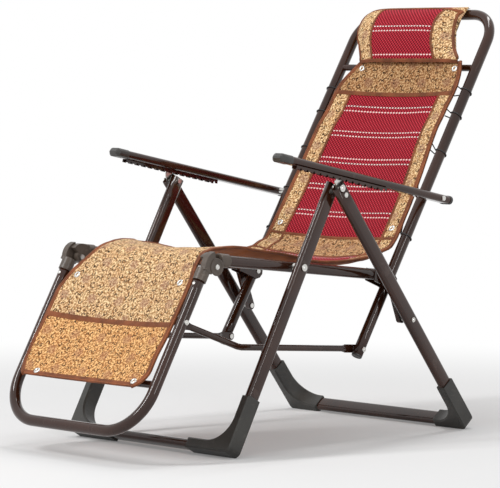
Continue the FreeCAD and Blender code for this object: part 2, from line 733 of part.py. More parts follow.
def elbow(label, toward, tube_side, offset, low, high, bore):
    """Moulded knee elbow: closed sleeve on the tube end, hood and ear on one half of the width."""
    x = size("tube_x")
    wall = size("sleeve_wall")
    tube = size("tube_dia") / 2
    ring_radius = tube + wall
    start = size("sleeve_start")
    axis_point = KNEE + tube_side * offset
    mouth = at_x(axis_point + toward * start, x)
    sleeve = Part.makeCylinder(ring_radius, size("sleeve_length"), mouth, toward)
    closed = min(sleeve.Edges, key=lambda edge: (edge.CenterOfMass - KNEE).dot(toward))
    sleeve = sleeve.makeChamfer(wall * 0.6, [closed])
    cavity = Part.makeCylinder(tube, size("sleeve_length"),
                               at_x(axis_point + toward * (start + wall), x), toward)
    hood_radius = offset + ring_radius
    ear = disc(KNEE, size("ear_radius"), low, high)
    turn = -1 if tube_side.cross(toward).x > 0 else 1
    hood_edge = rotated(tube_side, turn * size("hood_sweep"))
    middle = rotated(tube_side, turn * (size("hood_sweep") / 2 - 15))
    lead = rotated(tube_side, -turn * 30)
    spots = [at_x(KNEE, low), at_x(KNEE + lead * hood_radius, low),
             at_x(KNEE + middle * hood_radius, low), at_x(KNEE + hood_edge * hood_radius, low)]
    hood = Part.Wire([Part.LineSegment(spots[0], spots[1]).toShape(),
                      Part.Arc(spots[1], spots[2], spots[3]).toShape(),
                      Part.LineSegment(spots[3], spots[0]).toShape()])
    sector = Part.Face(hood).extrude(Vector(high - low, 0, 0))
    outer = KNEE + tube_side * (hood_radius - wall)
    reach = toward * (start + 2 * wall)
    arm = slab([outer, outer + reach, KNEE + tube_side * (offset - tube) + reach, KNEE - tube_side * wall],
               low, high)
    shape = ear.multiFuse([sector, arm, sleeve]).cut(cavity)
    shape = shape.cut(disc(KNEE, bore.value, low - 1, high + 1)).removeSplitter()
    piece = doc.addObject("Part::Feature", label)
    piece.Shape = shape
    return mirrored_pair(label + "s", piece)


half_wide = size("tube_dia") / 2 + size("sleeve_wall")
elbow("seat_elbow", RAIL_BACK, RAIL_UP, size("knee_drop"),
      size("tube_x") - half_wide, size("tube_x") - size("seat_gap"), pin_radius)
elbow("foot_elbow", -FOOT_UP, FOOT_OUT, size("foot_offset"),
      size("tube_x") + size("seat_gap"), size("tube_x") + half_wide, loose_radius)
knee_wide = dim("tube_dia") + 2 * dim("sleeve_wall")
turned_pair("knee_rivets", rivet_steps(knee_wide + dim("seat_gap")), KNEE,
            size("tube_x") - knee_wide.value / 2)

# Back frame: the inverted U, its cross tube, end plugs and link pins.
back_length = dim("back_above") + dim("back_below")
back_frame = u_frame(
    "back_frame", dim("tube_x"), back_length, dim("back_bend"), round_outside, round_inside,
    [("HingeBores", loose_radius, [(dim("back_above"), None)]),
     ("ArmBores", loose_radius, [(dim("back_above") - dim("arm_pivot_up"), None)]),
     ("LinkBores", pin_radius, [(dim("back_above") + dim("link_pin_drop"), None)])],
    turned(size("back_angle") + 180, HINGE + BACK_UP * size("back_above")))


def saddle_tube(label, centre, up):
    """Cross tube between the two sides of a frame, its ends hollowed to sit on the round tubes."""
    half = size("tube_x")
    radius = size("cross_dia") / 2
    tube = Part.makeCylinder(radius, 2 * half, at_x(centre, -half), Vector(1, 0, 0))
    for sign in (1, -1):
        start = at_x(centre - up * size("tube_dia"), sign * half)
        tube = tube.cut(Part.makeCylinder(size("tube_dia") / 2, 2 * size("tube_dia"), start, up))
    return feature(label, tube)


saddle_tube("back_cross_tube", HINGE + BACK_UP * (size("back_above") - size("back_cross_drop")), BACK_UP)


def make_back_plugs():
    """Plugs that close the lower ends of the back tubes."""
    plug = dim("tube_dia") / 2
    bore = plug - dim("tube_wall")
    body = doc.addObject("PartDesign::Body", "back_plug")
    profile = new_sketch(body, "Profile", "XY_Plane")
    corners(profile, [(0, -dim("plug_length")), (bore, -dim("plug_length")), (bore, 0), (plug, 0),
                      (plug, dim("plug_lip") - 1.5), (plug - 1.5, dim("plug_lip")), (0, dim("plug_lip"))])
    spin = body.newObject("PartDesign::Revolution", "Turning")
    spin.Profile = profile
    spin.ReferenceAxis = (profile, ["V_Axis"])
    spin.Angle = 360
    end = at_x(HINGE - BACK_UP * size("back_below"), size("tube_x"))
    body.Placement = turned(size("back_angle") + 180, end)
    mirrored_pair("back_plugs", body)


make_back_plugs()


def make_link_pins():
    """Pins of the long links: through the back tubes, and on the inner side of the footrest tubes."""
    inside = size("tube_x") - size("tube_dia") / 2
    head = dim("head_thick")
    wide = dim("head_dia") / 2
    tab = dim("tab_gap") + dim("tab_thick")
    play = dim("tab_thick") + dim("seat_gap")
    through = tab + dim("tube_dia")
    steps = [(-head, wide), (-dim("seat_gap"), wide), (-dim("seat_gap"), pin_radius), (play, pin_radius),
             (play, wide), (tab, wide), (tab, pin_radius), (through, pin_radius), (through, wide),
             (through + head, wide)]
    turned_pair("back_link_pins", steps, LINK_BACK, inside - tab.value)
    boss = dim("tab_gap") - dim("seat_gap")
    through = boss + dim("tube_dia")
    steps = [(Dim.of(0), wide), (boss, wide), (boss, pin_radius), (through, pin_radius),
             (through, wide), (through + head, wide)]
    turned_pair("foot_link_pins", steps, LINK_FRONT, inside - boss.value)


# Footrest frame and its cross tube.
foot_stub = dim("sleeve_start") + dim("sleeve_wall")
foot_frame = u_frame(
    "footrest_frame", dim("tube_x"), dim("foot_length") - foot_stub, dim("foot_bend"),
    round_outside, round_inside,
    [("LinkBores", pin_radius, [(dim("foot_length") - dim("foot_pin_drop"), None)])],
    turned(size("foot_angle"), KNEE + FOOT_OUT * size("foot_offset") - FOOT_UP * size("foot_length")))
foot_cross = size("foot_length") - size("foot_cross_rise")
saddle_tube("footrest_cross_tube", KNEE + FOOT_OUT * size("foot_offset") - FOOT_UP * foot_cross, FOOT_UP)


make_link_pins()


def across_wire(curve, centre, x, toward):
    """Closed curve drawn about the origin, carried to a link's section, long side in the side view."""
    turn = FreeCAD.Rotation(rotated(toward, 90), Vector(), toward, "ZXY")
    wire = Part.Wire([curve.toShape()])
    wire.Placement = FreeCAD.Placement(at_x(centre, x), turn)
    return wire


def long_link(label, sign):
    """Bent round link whose two ends are pressed flat."""
    radius = size("link_dia") / 2
    flat = size("tab_thick") / 2
    wide = size("tab_wide") / 2
    centre_x = size("tube_x") - size("tube_dia") / 2 - size("tab_gap") - flat
    level = (LINK_BACK - LINK_FRONT).normalize()
    length = LINK_BACK.distanceToPoint(LINK_FRONT)
    bend = LINK_FRONT + level * (length * (1 - size("link_bend_at"))) + rotated(level, -90) * size("link_sag")
    forward = (LINK_FRONT - bend).normalize()
    rearward = (LINK_BACK - bend).normalize()
    turn = math.pi - math.acos(forward.dot(rearward))
    bend_radius = size("link_bend_radius")
    cut = bend_radius * math.tan(turn / 2)
    neck = size("tab_length")
    round_at = neck + size("tab_taper")
    first = LINK_FRONT - forward * round_at
    last = LINK_BACK - rearward * round_at
    arc_from = bend + forward * cut
    arc_to = bend + rearward * cut
    path = Part.makePolygon([at_x(point, centre_x) for point in (first, arc_from, arc_to, last)])
    section = Part.Wire([Part.makeCircle(radius, at_x(first, centre_x), forward)])
    solid = path.makePipeShell([section], True, False, 1)
    round_end = Part.Circle(Vector(), Vector(0, 0, 1), radius)
    flat_end = Part.Ellipse(Vector(), wide, flat)
    for pin, outward in ((LINK_FRONT, forward), (LINK_BACK, rearward)):
        stations = [across_wire(round_end, pin - outward * round_at, centre_x, outward),
                    across_wire(flat_end, pin - outward * neck, centre_x, outward)]
        side_step = rotated(outward, 90) * wide
        root = pin - outward * (neck + 2)
        tab = slab([pin + side_step, pin - side_step, root - side_step, root + side_step],
                   centre_x - flat, centre_x + flat)
        end = disc(pin, wide, centre_x - flat, centre_x + flat)
        solid = solid.fuse(Part.makeLoft(stations, True, True)).fuse(tab).fuse(end)
    solid = solid.cut(disc(LINK_BACK, loose_radius.value, centre_x - 2 * flat, centre_x + 2 * flat))
    if sign < 0:
        solid = solid.mirror(Vector(), Vector(1, 0, 0))
    return feature(label, solid)


def make_long_link(name, sign):
    long_link("long_link_" + name, sign)


both_sides(make_long_link)

# Armrests, their caps and plugs, the notched racks and the bolts they turn on.
ARM_TURN = lean(ARM_FRONT)
arm_length = hypot_dim(dim("arm_reach"), dim("arm_rise"))
rack_length = dim("rack_pitch") * size("rack_notches") + dim("rack_margin")
RACK_START = arm_length.value - size("arm_cap") - size("rack_short") - rack_length.value


def arm_outside(sketch):
    oval(sketch, dim("arm_wide"), dim("arm_thick"), False)


def end_face_edges(shape, y):
    """Names of the edges that lie in one level plane across local Y."""
    return [f"Edge{n}" for n, edge in enumerate(shape.Edges, start=1)
            if all(abs(vertex.Point.y - y) < 0.01 for vertex in edge.Vertexes)]


def capped_oval(label, length, round_end, solid_end, place):
    """Oval end piece along local Y: outside as wide as the arm plus its wall, hollow up to the solid end."""
    body = doc.addObject("PartDesign::Body", label)
    section = new_sketch(body, "Outside", "XZ_Plane")
    wall = 2 * dim("arm_cap_wall")
    oval(section, dim("arm_wide") + wall, dim("arm_thick") + wall, False)
    pad = body.newObject("PartDesign::Pad", "Block")
    pad.Profile = section
    pad.Reversed = True
    pad.setExpression("Length", length.text)
    doc.recompute()
    bevel = body.newObject("PartDesign::Chamfer", "BevelledEnd")
    bevel.Base = (pad, end_face_edges(pad.Shape, length.value))
    bevel.setExpression("Size", round_end.text)
    mouth = new_sketch(body, "Mouth", "XZ_Plane")
    arm_outside(mouth)
    pocket = body.newObject("PartDesign::Pocket", "Hollow")
    pocket.Profile = mouth
    pocket.setExpression("Length", (length - solid_end).text)
    body.Placement = place
    return mirrored_pair(label + "s", body)


def make_arm(name, sign):
    x = sign * size("arm_x")
    rear = dim("arm_behind") - dim("plug_lip")
    front = arm_length - dim("cap_solid")
    start = at_x(ARM_PIVOT - ARM_FRONT * rear.value, x)
    straight_tube("armrest_" + name, arm_outside, rear + front,
                  [("PivotBore", loose_radius, [(rear, None)])], turned(ARM_TURN, start))


both_sides(make_arm)
cap_start = at_x(ARM_PIVOT + ARM_FRONT * (arm_length.value - size("arm_cap")), size("arm_x"))
capped_oval("arm_cap", dim("arm_cap"), dim("cap_solid"), dim("cap_solid"), turned(ARM_TURN, cap_start))
plug_start = at_x(ARM_PIVOT - ARM_FRONT * (size("arm_behind") - size("arm_plug")), size("arm_x"))
capped_oval("arm_plug", dim("arm_plug"), dim("plug_lip"), dim("plug_lip"), turned(ARM_TURN + 180, plug_start))


def make_rack(name, sign):
    """Channel under the armrest whose two flanges carry a row of half round notches."""
    body = doc.addObject("PartDesign::Body", "arm_rack_" + name)
    section = new_sketch(body, "Channel", "XZ_Plane")
    inner = dim("rack_gap") / 2
    outer = inner + dim("rack_plate")
    top = dim("arm_thick") / 2
    web = top + dim("rack_plate")
    low = web + dim("rack_depth")
    corners(section, [(-outer, top), (outer, top), (outer, low), (inner, low),
                      (inner, web), (-inner, web), (-inner, low), (-outer, low)])
    pad = body.newObject("PartDesign::Pad", "Sheet")
    pad.Profile = section
    pad.Reversed = True
    pad.setExpression("Length", rack_length.text)
    notch = new_sketch(body, "Notch", "YZ_Plane")
    start = dim("rack_pitch") / 2
    mouth = dim("notch_wide") / 2
    corners(notch, [(start - mouth, low + 1), (start - mouth / 2, low - dim("notch_deep")),
                    (start + mouth / 2, low - dim("notch_deep")), (start + mouth, low + 1)])
    pocket = body.newObject("PartDesign::Pocket", "FirstNotch")
    pocket.Profile = notch
    pocket.Type = "ThroughAll"
    pocket.Midplane = True
    row_of = body.newObject("PartDesign::LinearPattern", "Notches")
    row_of.Originals = [pocket]
    row_of.Direction = (origin_plane(body, "Y_Axis"), [""])
    row_of.setExpression("Length", "Sizes.rack_pitch * (Sizes.rack_notches - 1)")
    row_of.setExpression("Occurrences", "Sizes.rack_notches")
    body.Tip = row_of
    body.Placement = turned(ARM_TURN, at_x(ARM_PIVOT + ARM_FRONT * RACK_START, sign * REAR_LEG_X))
    keep(body, "arm_rack_" + name)


both_sides(make_rack)


def make_arm_bolts():
    head = dim("head_thick")
    wide = dim("head_dia") / 2
    through = dim("tube_dia") + dim("seat_gap") * 2
    beside = dim("arm_x") - dim("arm_wide") / 2 - dim("tube_x") - dim("tube_dia") / 2
    spacer = through + beside - dim("seat_gap") * 2
    far = spacer + dim("arm_wide") + dim("seat_gap") * 2
    steps = [(-head, wide), (Dim.of(0), wide), (Dim.of(0), pin_radius),
             (through, pin_radius), (through, wide), (spacer, wide), (spacer, pin_radius),
             (far, pin_radius), (far, wide), (far + head, wide)]
    turned_pair("arm_pivot_bolts", steps, ARM_PIVOT, size("tube_x") - size("tube_dia") / 2 - size("seat_gap"))


make_arm_bolts()

# Soft parts: mat and head pillow. Each is a band that hangs between the tubes.
FOOT_AXIS = KNEE + FOOT_OUT * size("foot_offset")
BACK_FRAME = (HINGE, BACK_UP, rotated(BACK_UP, 90))
SEAT_FRAME = (SEAT_PIVOT, RAIL_BACK, RAIL_UP)
FOOT_FRAME = (FOOT_AXIS, -FOOT_UP, FOOT_OUT)


def band(frame, line, half, thick, lift, sag_half):
    """Cloth band: line lists the way along the frame, the height above it and the share of the sag."""
    origin, forward, up = frame
    sections = []
    for part in (-1, -0.6, -0.2, 0.2, 0.6, 1):
        drop = size("mat_sag") * (1 - (part * half / sag_half) ** 2)
        base = [at_x(origin + forward * u + up * (w - drop * share), part * half) for u, w, share in line]
        turn = 90 if forward.cross(up).x > 0 else -90
        top = []
        low = []
        for index, point in enumerate(base):
            level = base[min(index + 1, len(base) - 1)] - base[max(index - 1, 0)]
            outward = rotated(level.normalize(), turn)
            top.append(point + outward * lift)
            low.append(point + outward * (lift - thick))
        near_end = (top[0] + low[0]) * 0.5 + (top[0] - top[1]).normalize() * thick * 0.35
        far_end = (top[-1] + low[-1]) * 0.5 + (top[-1] - top[-2]).normalize() * thick * 0.35
        spots = top + [far_end] + low[::-1] + [near_end]
        sections.append(Part.makePolygon(spots + [spots[0]]))
    return Part.makeLoft(sections, True, True)


BACK_LINE = [(70, 42, 0.3), (90, 31, 0.7), (150, 20.2, 1), (260, 20.2, 1), (400, 20.2, 1), (500, 21, 0.9),
             (560, 27, 0.6), (606, 38, 0.2)]
SEAT_LINE = [(-268, 20, 0.2), (-203, 24, 0.6), (-139, 22, 1), (-12, 15, 1), (79, 16, 1), (190, 24, 1),
             (250, 33, 0.9), (310, 47, 0.6), (334, 55, 0.4)]
FOOT_LINE = [(26, 21, 0.2), (105, 22, 0.8), (200, 22, 1), (foot_cross - 72, 24, 0.8),
             (foot_cross - 15, 28, 0.3), (foot_cross + 23, 32, 0.1)]


def knee_room():
    """Space that the knee elbows take beside the mat."""
    clear = size("tube_dia") / 2 + size("sleeve_wall") + size("mat_gap")
    reach = size("sleeve_start") + size("sleeve_length") + size("mat_gap")
    room = []
    for x in (size("tube_x"), -size("tube_x")):
        room.append(disc(KNEE, size("foot_offset") + clear, x - clear, x + clear))
        room.append(Part.makeCylinder(clear, reach, at_x(FOOT_AXIS, x), -FOOT_UP))
    return Part.makeCompound(room)


def make_bands():
    spread = (("back", BACK_FRAME, BACK_LINE, size("mat_half")),
              ("seat", SEAT_FRAME, SEAT_LINE, size("seat_mat_half")),
              ("leg", FOOT_FRAME, FOOT_LINE, size("mat_half")))
    for name, frame, line, half in spread:
        mat = band(frame, line, half, size("mat_thick"), 0, half)
        if name != "back":
            mat = mat.cut(knee_room())
        feature("mat_" + name, mat)


make_bands()


def pillow_section(x, swell):
    """Closed outline of the head pillow at one station: full in the middle, thin at its two sides."""
    origin, forward, up = BACK_FRAME
    places = []
    for u, w, back in PILLOW_LINE:
        middle = (w + back) / 2
        places.append((u, middle + (w - middle) * swell))
    for u, w, back in PILLOW_LINE[::-1][1:-1]:
        middle = (w + back) / 2
        places.append((u, middle + (back - middle) * swell))
    spots = [at_x(origin + forward * u + up * w, x) for u, w in places]
    return Part.makePolygon(spots + [spots[0]])


PILLOW_LINE = [(618, 44, 41), (634, 50, 30), (660, 56, 25), (700, 68, 25), (750, 70, 24), (795, 62, 18),
               (826, 47, 8), (846, 22, 2), (851, 4, -4)]


def make_pillow():
    half = size("pillow_half")
    stations = [(-1, 0.3), (-0.96, 0.62), (-0.85, 0.88), (-0.5, 1), (0, 0.97),
                (0.5, 1), (0.85, 0.88), (0.96, 0.62), (1, 0.3)]
    solid = Part.makeLoft([pillow_section(part * half, swell) for part, swell in stations], True, True)
    bar_room = Part.makeCylinder(size("tube_dia") / 2 + size("seat_gap"), 2 * half + 20,
                                 at_x(HINGE + BACK_UP * size("back_above"), -half - 10), Vector(1, 0, 0))
    feature("head_pillow", solid.cut(bar_room))


make_pillow()

# Every piece is checked before any file is written.
doc.recompute()
problems = []
for item in doc.Objects:
    if "Invalid" in item.State or "Error" in item.State:
        problems.append(item.Label + " " + str(item.State))
for piece in PIECES:
    if piece.Shape.isNull() or not piece.Shape.isValid() or piece.Shape.Volume <= 0:
        problems.append(piece.Label + " has no valid shape")
if problems:
    raise RuntimeError("; ".join(problems))
os.makedirs("parts", exist_ok=True)
for piece in PIECES:
    piece.Shape.exportStep(f"parts/{piece.Label}.step")
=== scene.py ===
"""Looks of the folding sun lounger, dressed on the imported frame.

Every length is in metres. The row frame is used throughout: +X is the sitter's left, +Y the back, +Z up.
"""
import json
import math

import bpy
import numpy as np
from bpy.props import FloatProperty, FloatVectorProperty, PointerProperty
from mathutils import Matrix, Vector, noise
from mathutils.bvhtree import BVHTree


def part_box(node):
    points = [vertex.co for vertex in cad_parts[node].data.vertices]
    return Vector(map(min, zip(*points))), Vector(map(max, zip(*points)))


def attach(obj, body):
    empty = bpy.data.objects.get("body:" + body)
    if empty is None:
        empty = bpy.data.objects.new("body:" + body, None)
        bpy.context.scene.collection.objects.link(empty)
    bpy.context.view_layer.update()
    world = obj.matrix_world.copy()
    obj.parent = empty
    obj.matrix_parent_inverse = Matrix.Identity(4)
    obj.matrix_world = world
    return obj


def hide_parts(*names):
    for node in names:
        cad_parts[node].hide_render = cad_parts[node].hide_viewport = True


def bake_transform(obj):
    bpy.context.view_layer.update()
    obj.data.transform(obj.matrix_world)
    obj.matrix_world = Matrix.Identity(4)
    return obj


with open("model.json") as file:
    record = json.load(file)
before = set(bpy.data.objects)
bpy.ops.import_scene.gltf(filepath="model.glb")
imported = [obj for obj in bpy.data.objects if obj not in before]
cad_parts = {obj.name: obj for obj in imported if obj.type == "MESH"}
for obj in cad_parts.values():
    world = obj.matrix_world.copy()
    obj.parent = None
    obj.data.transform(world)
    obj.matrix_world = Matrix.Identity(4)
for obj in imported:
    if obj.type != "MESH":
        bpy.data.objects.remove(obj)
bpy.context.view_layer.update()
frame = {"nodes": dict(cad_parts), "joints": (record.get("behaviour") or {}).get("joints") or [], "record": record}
JOINTS = {joint["name"]: joint for joint in frame["joints"]}

bl_info = {
    "name": "Folding sun lounger",
    "version": (1, 0, 0),
    "blender": (4, 5, 0),
    "location": "View3D > Sidebar > Lounger",
    "description": "Dresses the lounger's frame: painted tubes, moulded plastic, brocade mat and head pillow",
    "category": "Object",
}

SIDES = (("left", 1), ("right", -1))
TUBE = 0.028
TUBE_X = 0.24
TUBE_WALL = 0.0015
LEG_OVAL = (0.040, 0.020)
BAR_HEIGHT = 0.02
FOOT_OFFSET = 0.021
# How far down an open tube end can be seen into.
HOLLOW_DEPTH = 0.05


def pivot(joint):
    """Side view place of a joint, as Y and Z."""
    place = JOINTS[joint]["pos_m"]
    return np.array([place[1], place[2]])


def heading(degrees):
    """Side view direction counted from +Y upwards."""
    return np.array([math.cos(math.radians(degrees)), math.sin(math.radians(degrees))])


def quarter(direction):
    """Side view direction turned a quarter turn from +Y towards +Z."""
    return np.array([-direction[1], direction[0]])


def spot(x, side_place):
    """Point from X and a side view place."""
    return Vector((x, side_place[0], side_place[1]))


APEX = pivot("fold")
HINGE = pivot("recline")
KNEE = pivot("footrest_lift")
BACK_UP = heading(57.76)
BACK_OUT = quarter(BACK_UP)
FOOT_UP = heading(59.75)
FOOT_OUT = quarter(FOOT_UP)

# Upper face of the mat seen from the side, from its foot end to the pillow: Y, Z and share of the sag, in mm.
MAT_LINE = [
    (-637, 190, 0.1), (-611, 215, 0.3), (-581, 263, 0.6), (-549, 309, 0.8), (-498, 389, 0.9), (-457, 446, 0.5),
    (-430, 478, 0.3), (-396, 501, 0.3), (-338, 508, 0.7), (-275, 506, 1.2), (-243, 500, 1.5), (-170, 490, 1.8),
    (-105, 477, 1.6), (-59, 466, 1.3), (0, 459, 1.1), (53, 457, 1), (113, 458, 1), (190, 467, 1),
    (225, 480, 0.9), (248, 487, 0.8), (267, 507, 0.8), (291, 540, 0.9), (337, 604, 1), (392, 694, 1),
    (443, 785, 1), (483, 840, 1), (532, 939, 0.5), (547, 986, 0.2),
]
# Distances along that line at which the seams lie.
LEG_SEAM = 0.174
SEAT_SEAM = 0.78
LUMBAR_FROM = 1.001
LUMBAR_TO = 1.078
BAND_FROM = 1.524
MAT_END = 1.617
SEAMS = (0, LEG_SEAM, SEAT_SEAM, LUMBAR_FROM, LUMBAR_TO, BAND_FROM, MAT_END)
# Side edges of the mat: distance along the line, right edge, left edge.
MAT_EDGES = np.array([
    (0, -0.196, 0.196), (0.008, -0.208, 0.208), (0.022, -0.217, 0.217), (0.045, -0.225, 0.225),
    (0.25, -0.226, 0.228), (0.30, -0.206, 0.226), (0.34, -0.181, 0.215), (0.38, -0.165, 0.208),
    (0.42, -0.165, 0.206), (0.47, -0.182, 0.210), (0.55, -0.206, 0.216), (0.66, -0.222, 0.220),
    (0.95, -0.224, 0.222), (1.05, -0.226, 0.231), (1.10, -0.229, 0.230), (1.194, -0.229, 0.224),
    (1.343, -0.220, 0.214), (1.48, -0.211, 0.214), (1.524, -0.206, 0.222), (1.55, -0.197, 0.224),
    (1.58, -0.174, 0.222), (1.60, -0.156, 0.218), (1.617, -0.140, 0.214),
])
# Outlines of the head pillow's cushion and of the flap over the top bar, in the back's own directions, in mm:
# along the tube and out of it.
CUSHION_LINE = [
    (640, 42), (652, 50), (675, 56), (705, 63), (745, 68), (780, 64), (804, 53), (821, 37), (833, 20),
    (837, 10), (834, 8), (827, 15), (815, 19.5), (795, 21.5), (745, 23), (700, 25), (665, 33), (652, 37),
    (640, 39),
]
FLAP_LINE = [
    (829, 22), (836, 15), (840, 2), (835, -13), (821, -19), (796, -21), (768, -20), (768, -17), (796, -17.5),
    (813, -15.5), (828, -14), (835, -6), (836, 3), (830, 14), (825, 18),
]
# Side edges of the pillow's front: distance along the back, right edge, left edge.
PILLOW_EDGES = np.array([
    (0.64, -0.140, 0.212), (0.66, -0.148, 0.202), (0.69, -0.168, 0.175), (0.72, -0.190, 0.159),
    (0.75, -0.203, 0.146), (0.78, -0.206, 0.139), (0.80, -0.202, 0.134), (0.815, -0.190, 0.143),
    (0.83, -0.165, 0.150), (0.84, -0.150, 0.145),
])
# Side edges of the red panel on the pillow, in the same way.
PILLOW_RED = np.array([
    (0.64, -0.092, 0.131), (0.66, -0.097, 0.122), (0.69, -0.110, 0.106), (0.72, -0.118, 0.096),
    (0.76, -0.123, 0.090), (0.80, -0.124, 0.092), (0.83, -0.115, 0.104),
])
# Side edges of the flap: over the top bar and behind it.
FLAP_TOP = (-0.160, 0.146)
FLAP_EDGES = (-0.140, 0.100)
# Bodies that a half of the mat lies on, and where the bend between them starts and ends.
UPPER = ("seat", "back", (0, 0.16, 0.46), (0, 0.30, 0.52))
LOWER = ("seat", "footrest", (0, -0.33, 0.50), (0, -0.46, 0.43))
# Turned pieces: radius and height of each ring. The dome's radii are shares of the pin's head.
DOME = [
    (0.96, -0.0004), (0.94, 0.0006), (0.80, 0.0010), (0.60, 0.0006), (0.52, 0.0001), (0.44, 0.0004),
    (0.34, 0.0014), (0.15, 0.0019),
]
KNEE_DISC = [
    (0.0215, 0), (0.0215, 0.0012), (0.0205, 0.0019), (0.0165, 0.0019), (0.0155, 0.0012), (0.0100, 0.0012),
    (0.0092, 0.0018), (0.0070, 0.0018),
]
KNEE_DISC_X = 0.257
SCREW = [(0.0048, -0.001), (0.0046, 0.0006), (0.0034, 0.0018), (0.0012, 0.0023)]
EYELET = [
    (0.0035, -0.0025), (0.0035, 0.0010), (0.0042, 0.0021), (0.0058, 0.0026), (0.0076, 0.0021), (0.0088, 0.0010),
    (0.0092, -0.0008), (0.0092, -0.0025),
]
# Pins that get a domed head, with their bodies.
PINS = (
    ("apex_rivets", "front_legs"), ("knee_rivets", "seat"), ("foot_link_pins", "footrest"),
    ("back_link_pins", "back"), ("back_pivot_bolts", "seat"), ("seat_pivot_bolts", "front_legs"),
    ("swing_rivets", "rear_legs"),
)
# Eyelets: distance along the mat and X.
EYELETS = (
    (0.014, 0.192), (0.012, -0.152), (0.288, 0.19), (0.288, -0.178), (1.108, 0.20), (1.108, -0.20),
    (1.594, 0.199), (1.594, -0.130),
)
# Elastics: place along the back tube, and distances along the mat where each leaves it and returns.
TIES = (
    (0.575, 1.548, 1.520), (0.500, 1.480, 1.462), (0.385, 1.372, 1.354), (0.255, 1.245, 1.227),
    (0.130, 1.125, 1.107),
)
TIE_THICK = 0.0032
TIE_RADIUS = 0.0158
# Area lamps: place, aim, size and watts.
LAMPS = (
    ("key", (-1.2, -3.6, 3.2), (0, 0, 0.5), (0.4, 2.4), 115),
    ("fill", (4.2, -1.0, 2.2), (0, 0, 0.5), (0.3, 2.4), 34),
    ("top", (0, 1.0, 3.8), (0, 0, 0.4), (0.5, 2.4), 44),
)
SKY_STRENGTH = 0.48
# Cloth simulation of the cushion: cell size, number of frames and the most that a point may move.
VOXEL = 0.0048
CLOTH_FRAMES = 20
CLOTH = {"quality": 5, "mass": 0.25, "tension_stiffness": 12, "compression_stiffness": 6, "shear_stiffness": 4,
         "bending_stiffness": 0.15, "vertex_group_mass": "held", "pin_stiffness": 0.6, "use_pressure": True,
         "uniform_pressure_force": 4}
MOST_PUFF = 0.012
# Insets of the rows of points beside an edge of the mat, and the steps of its other rows and of its ribbons.
RIM_ROWS = [0, 0.0008, 0.0025, 0.006, 0.011]
ROW_STEP = 0.0062
RIBBON_STEP = 0.01
# Widths beside an edge over which the mat turns round and over which it is pressed thinner.
RIM_ROUND = 0.006
RIM_PRESSED = 0.022
# Points across the mat between its rims, and share of the padding that shows below it.
COLUMNS = 66
PADDING_BELOW = 0.35
# Height of a ribbon's middle over the mat, and height of the binding.
RIBBON_LIFT = 0.0008
BINDING_HIGH = 0.0078
# Camera: turn, tilt and roll in degrees, the point it looks at and its distance from there.
CAMERA_ANGLES = (44.132, 3.512, 0.392)
CAMERA_TARGET = (0, -0.03695, 0.4927)
CAMERA_DISTANCE = 6.8604
SENSOR = 36
# Brocade repeat across and along the mat, and pitch of the red panel's threads.
REPEAT = (0.094, 0.051)
RED_PITCH = 0.0102
# Turns of the lining's twill, in radians per metre.
TWILL = 2856
# Curled scrolls within a repeat: centre, radius and the gap of the ring in radians.
CURLS = (
    ((-0.033, -0.012), 0.0055, 0.6, 3.0), ((0.031, -0.014), 0.0062, -0.9, 1.6),
    ((-0.021, 0.016), 0.0048, -3.0, -0.6), ((0.019, 0.017), 0.0052, 1.2, 3.1),
    ((-0.040, 0.007), 0.0042, -1.6, 0.8), ((0.040, 0.005), 0.0045, -2.6, -0.2),
    ((0.000, -0.021), 0.0045, 0.2, 2.6),
)


def measure(name, description, default, low, high):
    """Length property in metres."""
    return FloatProperty(name=name, description=description, default=default, min=low, max=high,
                         subtype="DISTANCE", unit="LENGTH")


class LoungerSizes(bpy.types.PropertyGroup):
    """Sizes that a user would change."""

    mat_thick: measure("Mat thickness", "Thickness of the quilted mat", 0.008, 0.002, 0.03)
    mat_sag: measure("Mat sag", "Drop of the mat's middle between the side tubes", 0.02, 0, 0.06)
    border: measure("Side border", "Width of the brocade beside the red panels", 0.054, 0.01, 0.1)
    binding: measure("Edge binding", "Width of the ribbon round the mat's edge", 0.014, 0.002, 0.03)
    puff: measure("Quilting", "Height of the padding between two seams", 0.004, 0, 0.02)
    lens: FloatProperty(name="Camera lens", description="Focal length for a 36 mm wide sensor, in millimetres",
                        default=192.46, min=20, max=500)


def colour(name, description, default):
    """Colour property with the usual limits."""
    return FloatVectorProperty(name=name, description=description, default=default, size=3,
                               min=0, max=1, subtype="COLOR")


class LoungerColours(bpy.types.PropertyGroup):
    """Colours that a user would change."""

    paint: colour("Tube paint", "Gloss paint of the tubes", (0.030, 0.009, 0.004))
    foot: colour("Foot plastic", "Moulded corner feet", (0.034, 0.032, 0.028))
    elbow: colour("Elbow plastic", "Moulded knee elbows", (0.080, 0.060, 0.046))
    cap: colour("Cap plastic", "Armrest caps and tube plugs", (0.045, 0.042, 0.040))
    zinc: colour("Rivets", "Plated rivets and eyelets", (0.66, 0.65, 0.62))
    gold: colour("Brocade ground", "Gold ground of the brocade", (0.66, 0.345, 0.130))
    scroll: colour("Brocade scrolls", "Dark scrolls of the brocade", (0.030, 0.011, 0.005))
    red: colour("Red weave", "Lighter threads of the red panels", (0.36, 0.008, 0.022))
    wine: colour("Red weave shade", "Darker threads of the red panels", (0.070, 0.001, 0.005))
    ribbon: colour("Binding", "Ribbon along edges and seams", (0.20, 0.064, 0.026))
    lining: colour("Lining", "Underside of the mat", (0.30, 0.090, 0.026))


def sizes():
    return bpy.context.scene.lounger_sizes


def rgb(name):
    """One of the lounger's colours as plain numbers."""
    return tuple(getattr(bpy.context.scene.lounger_colours, name))


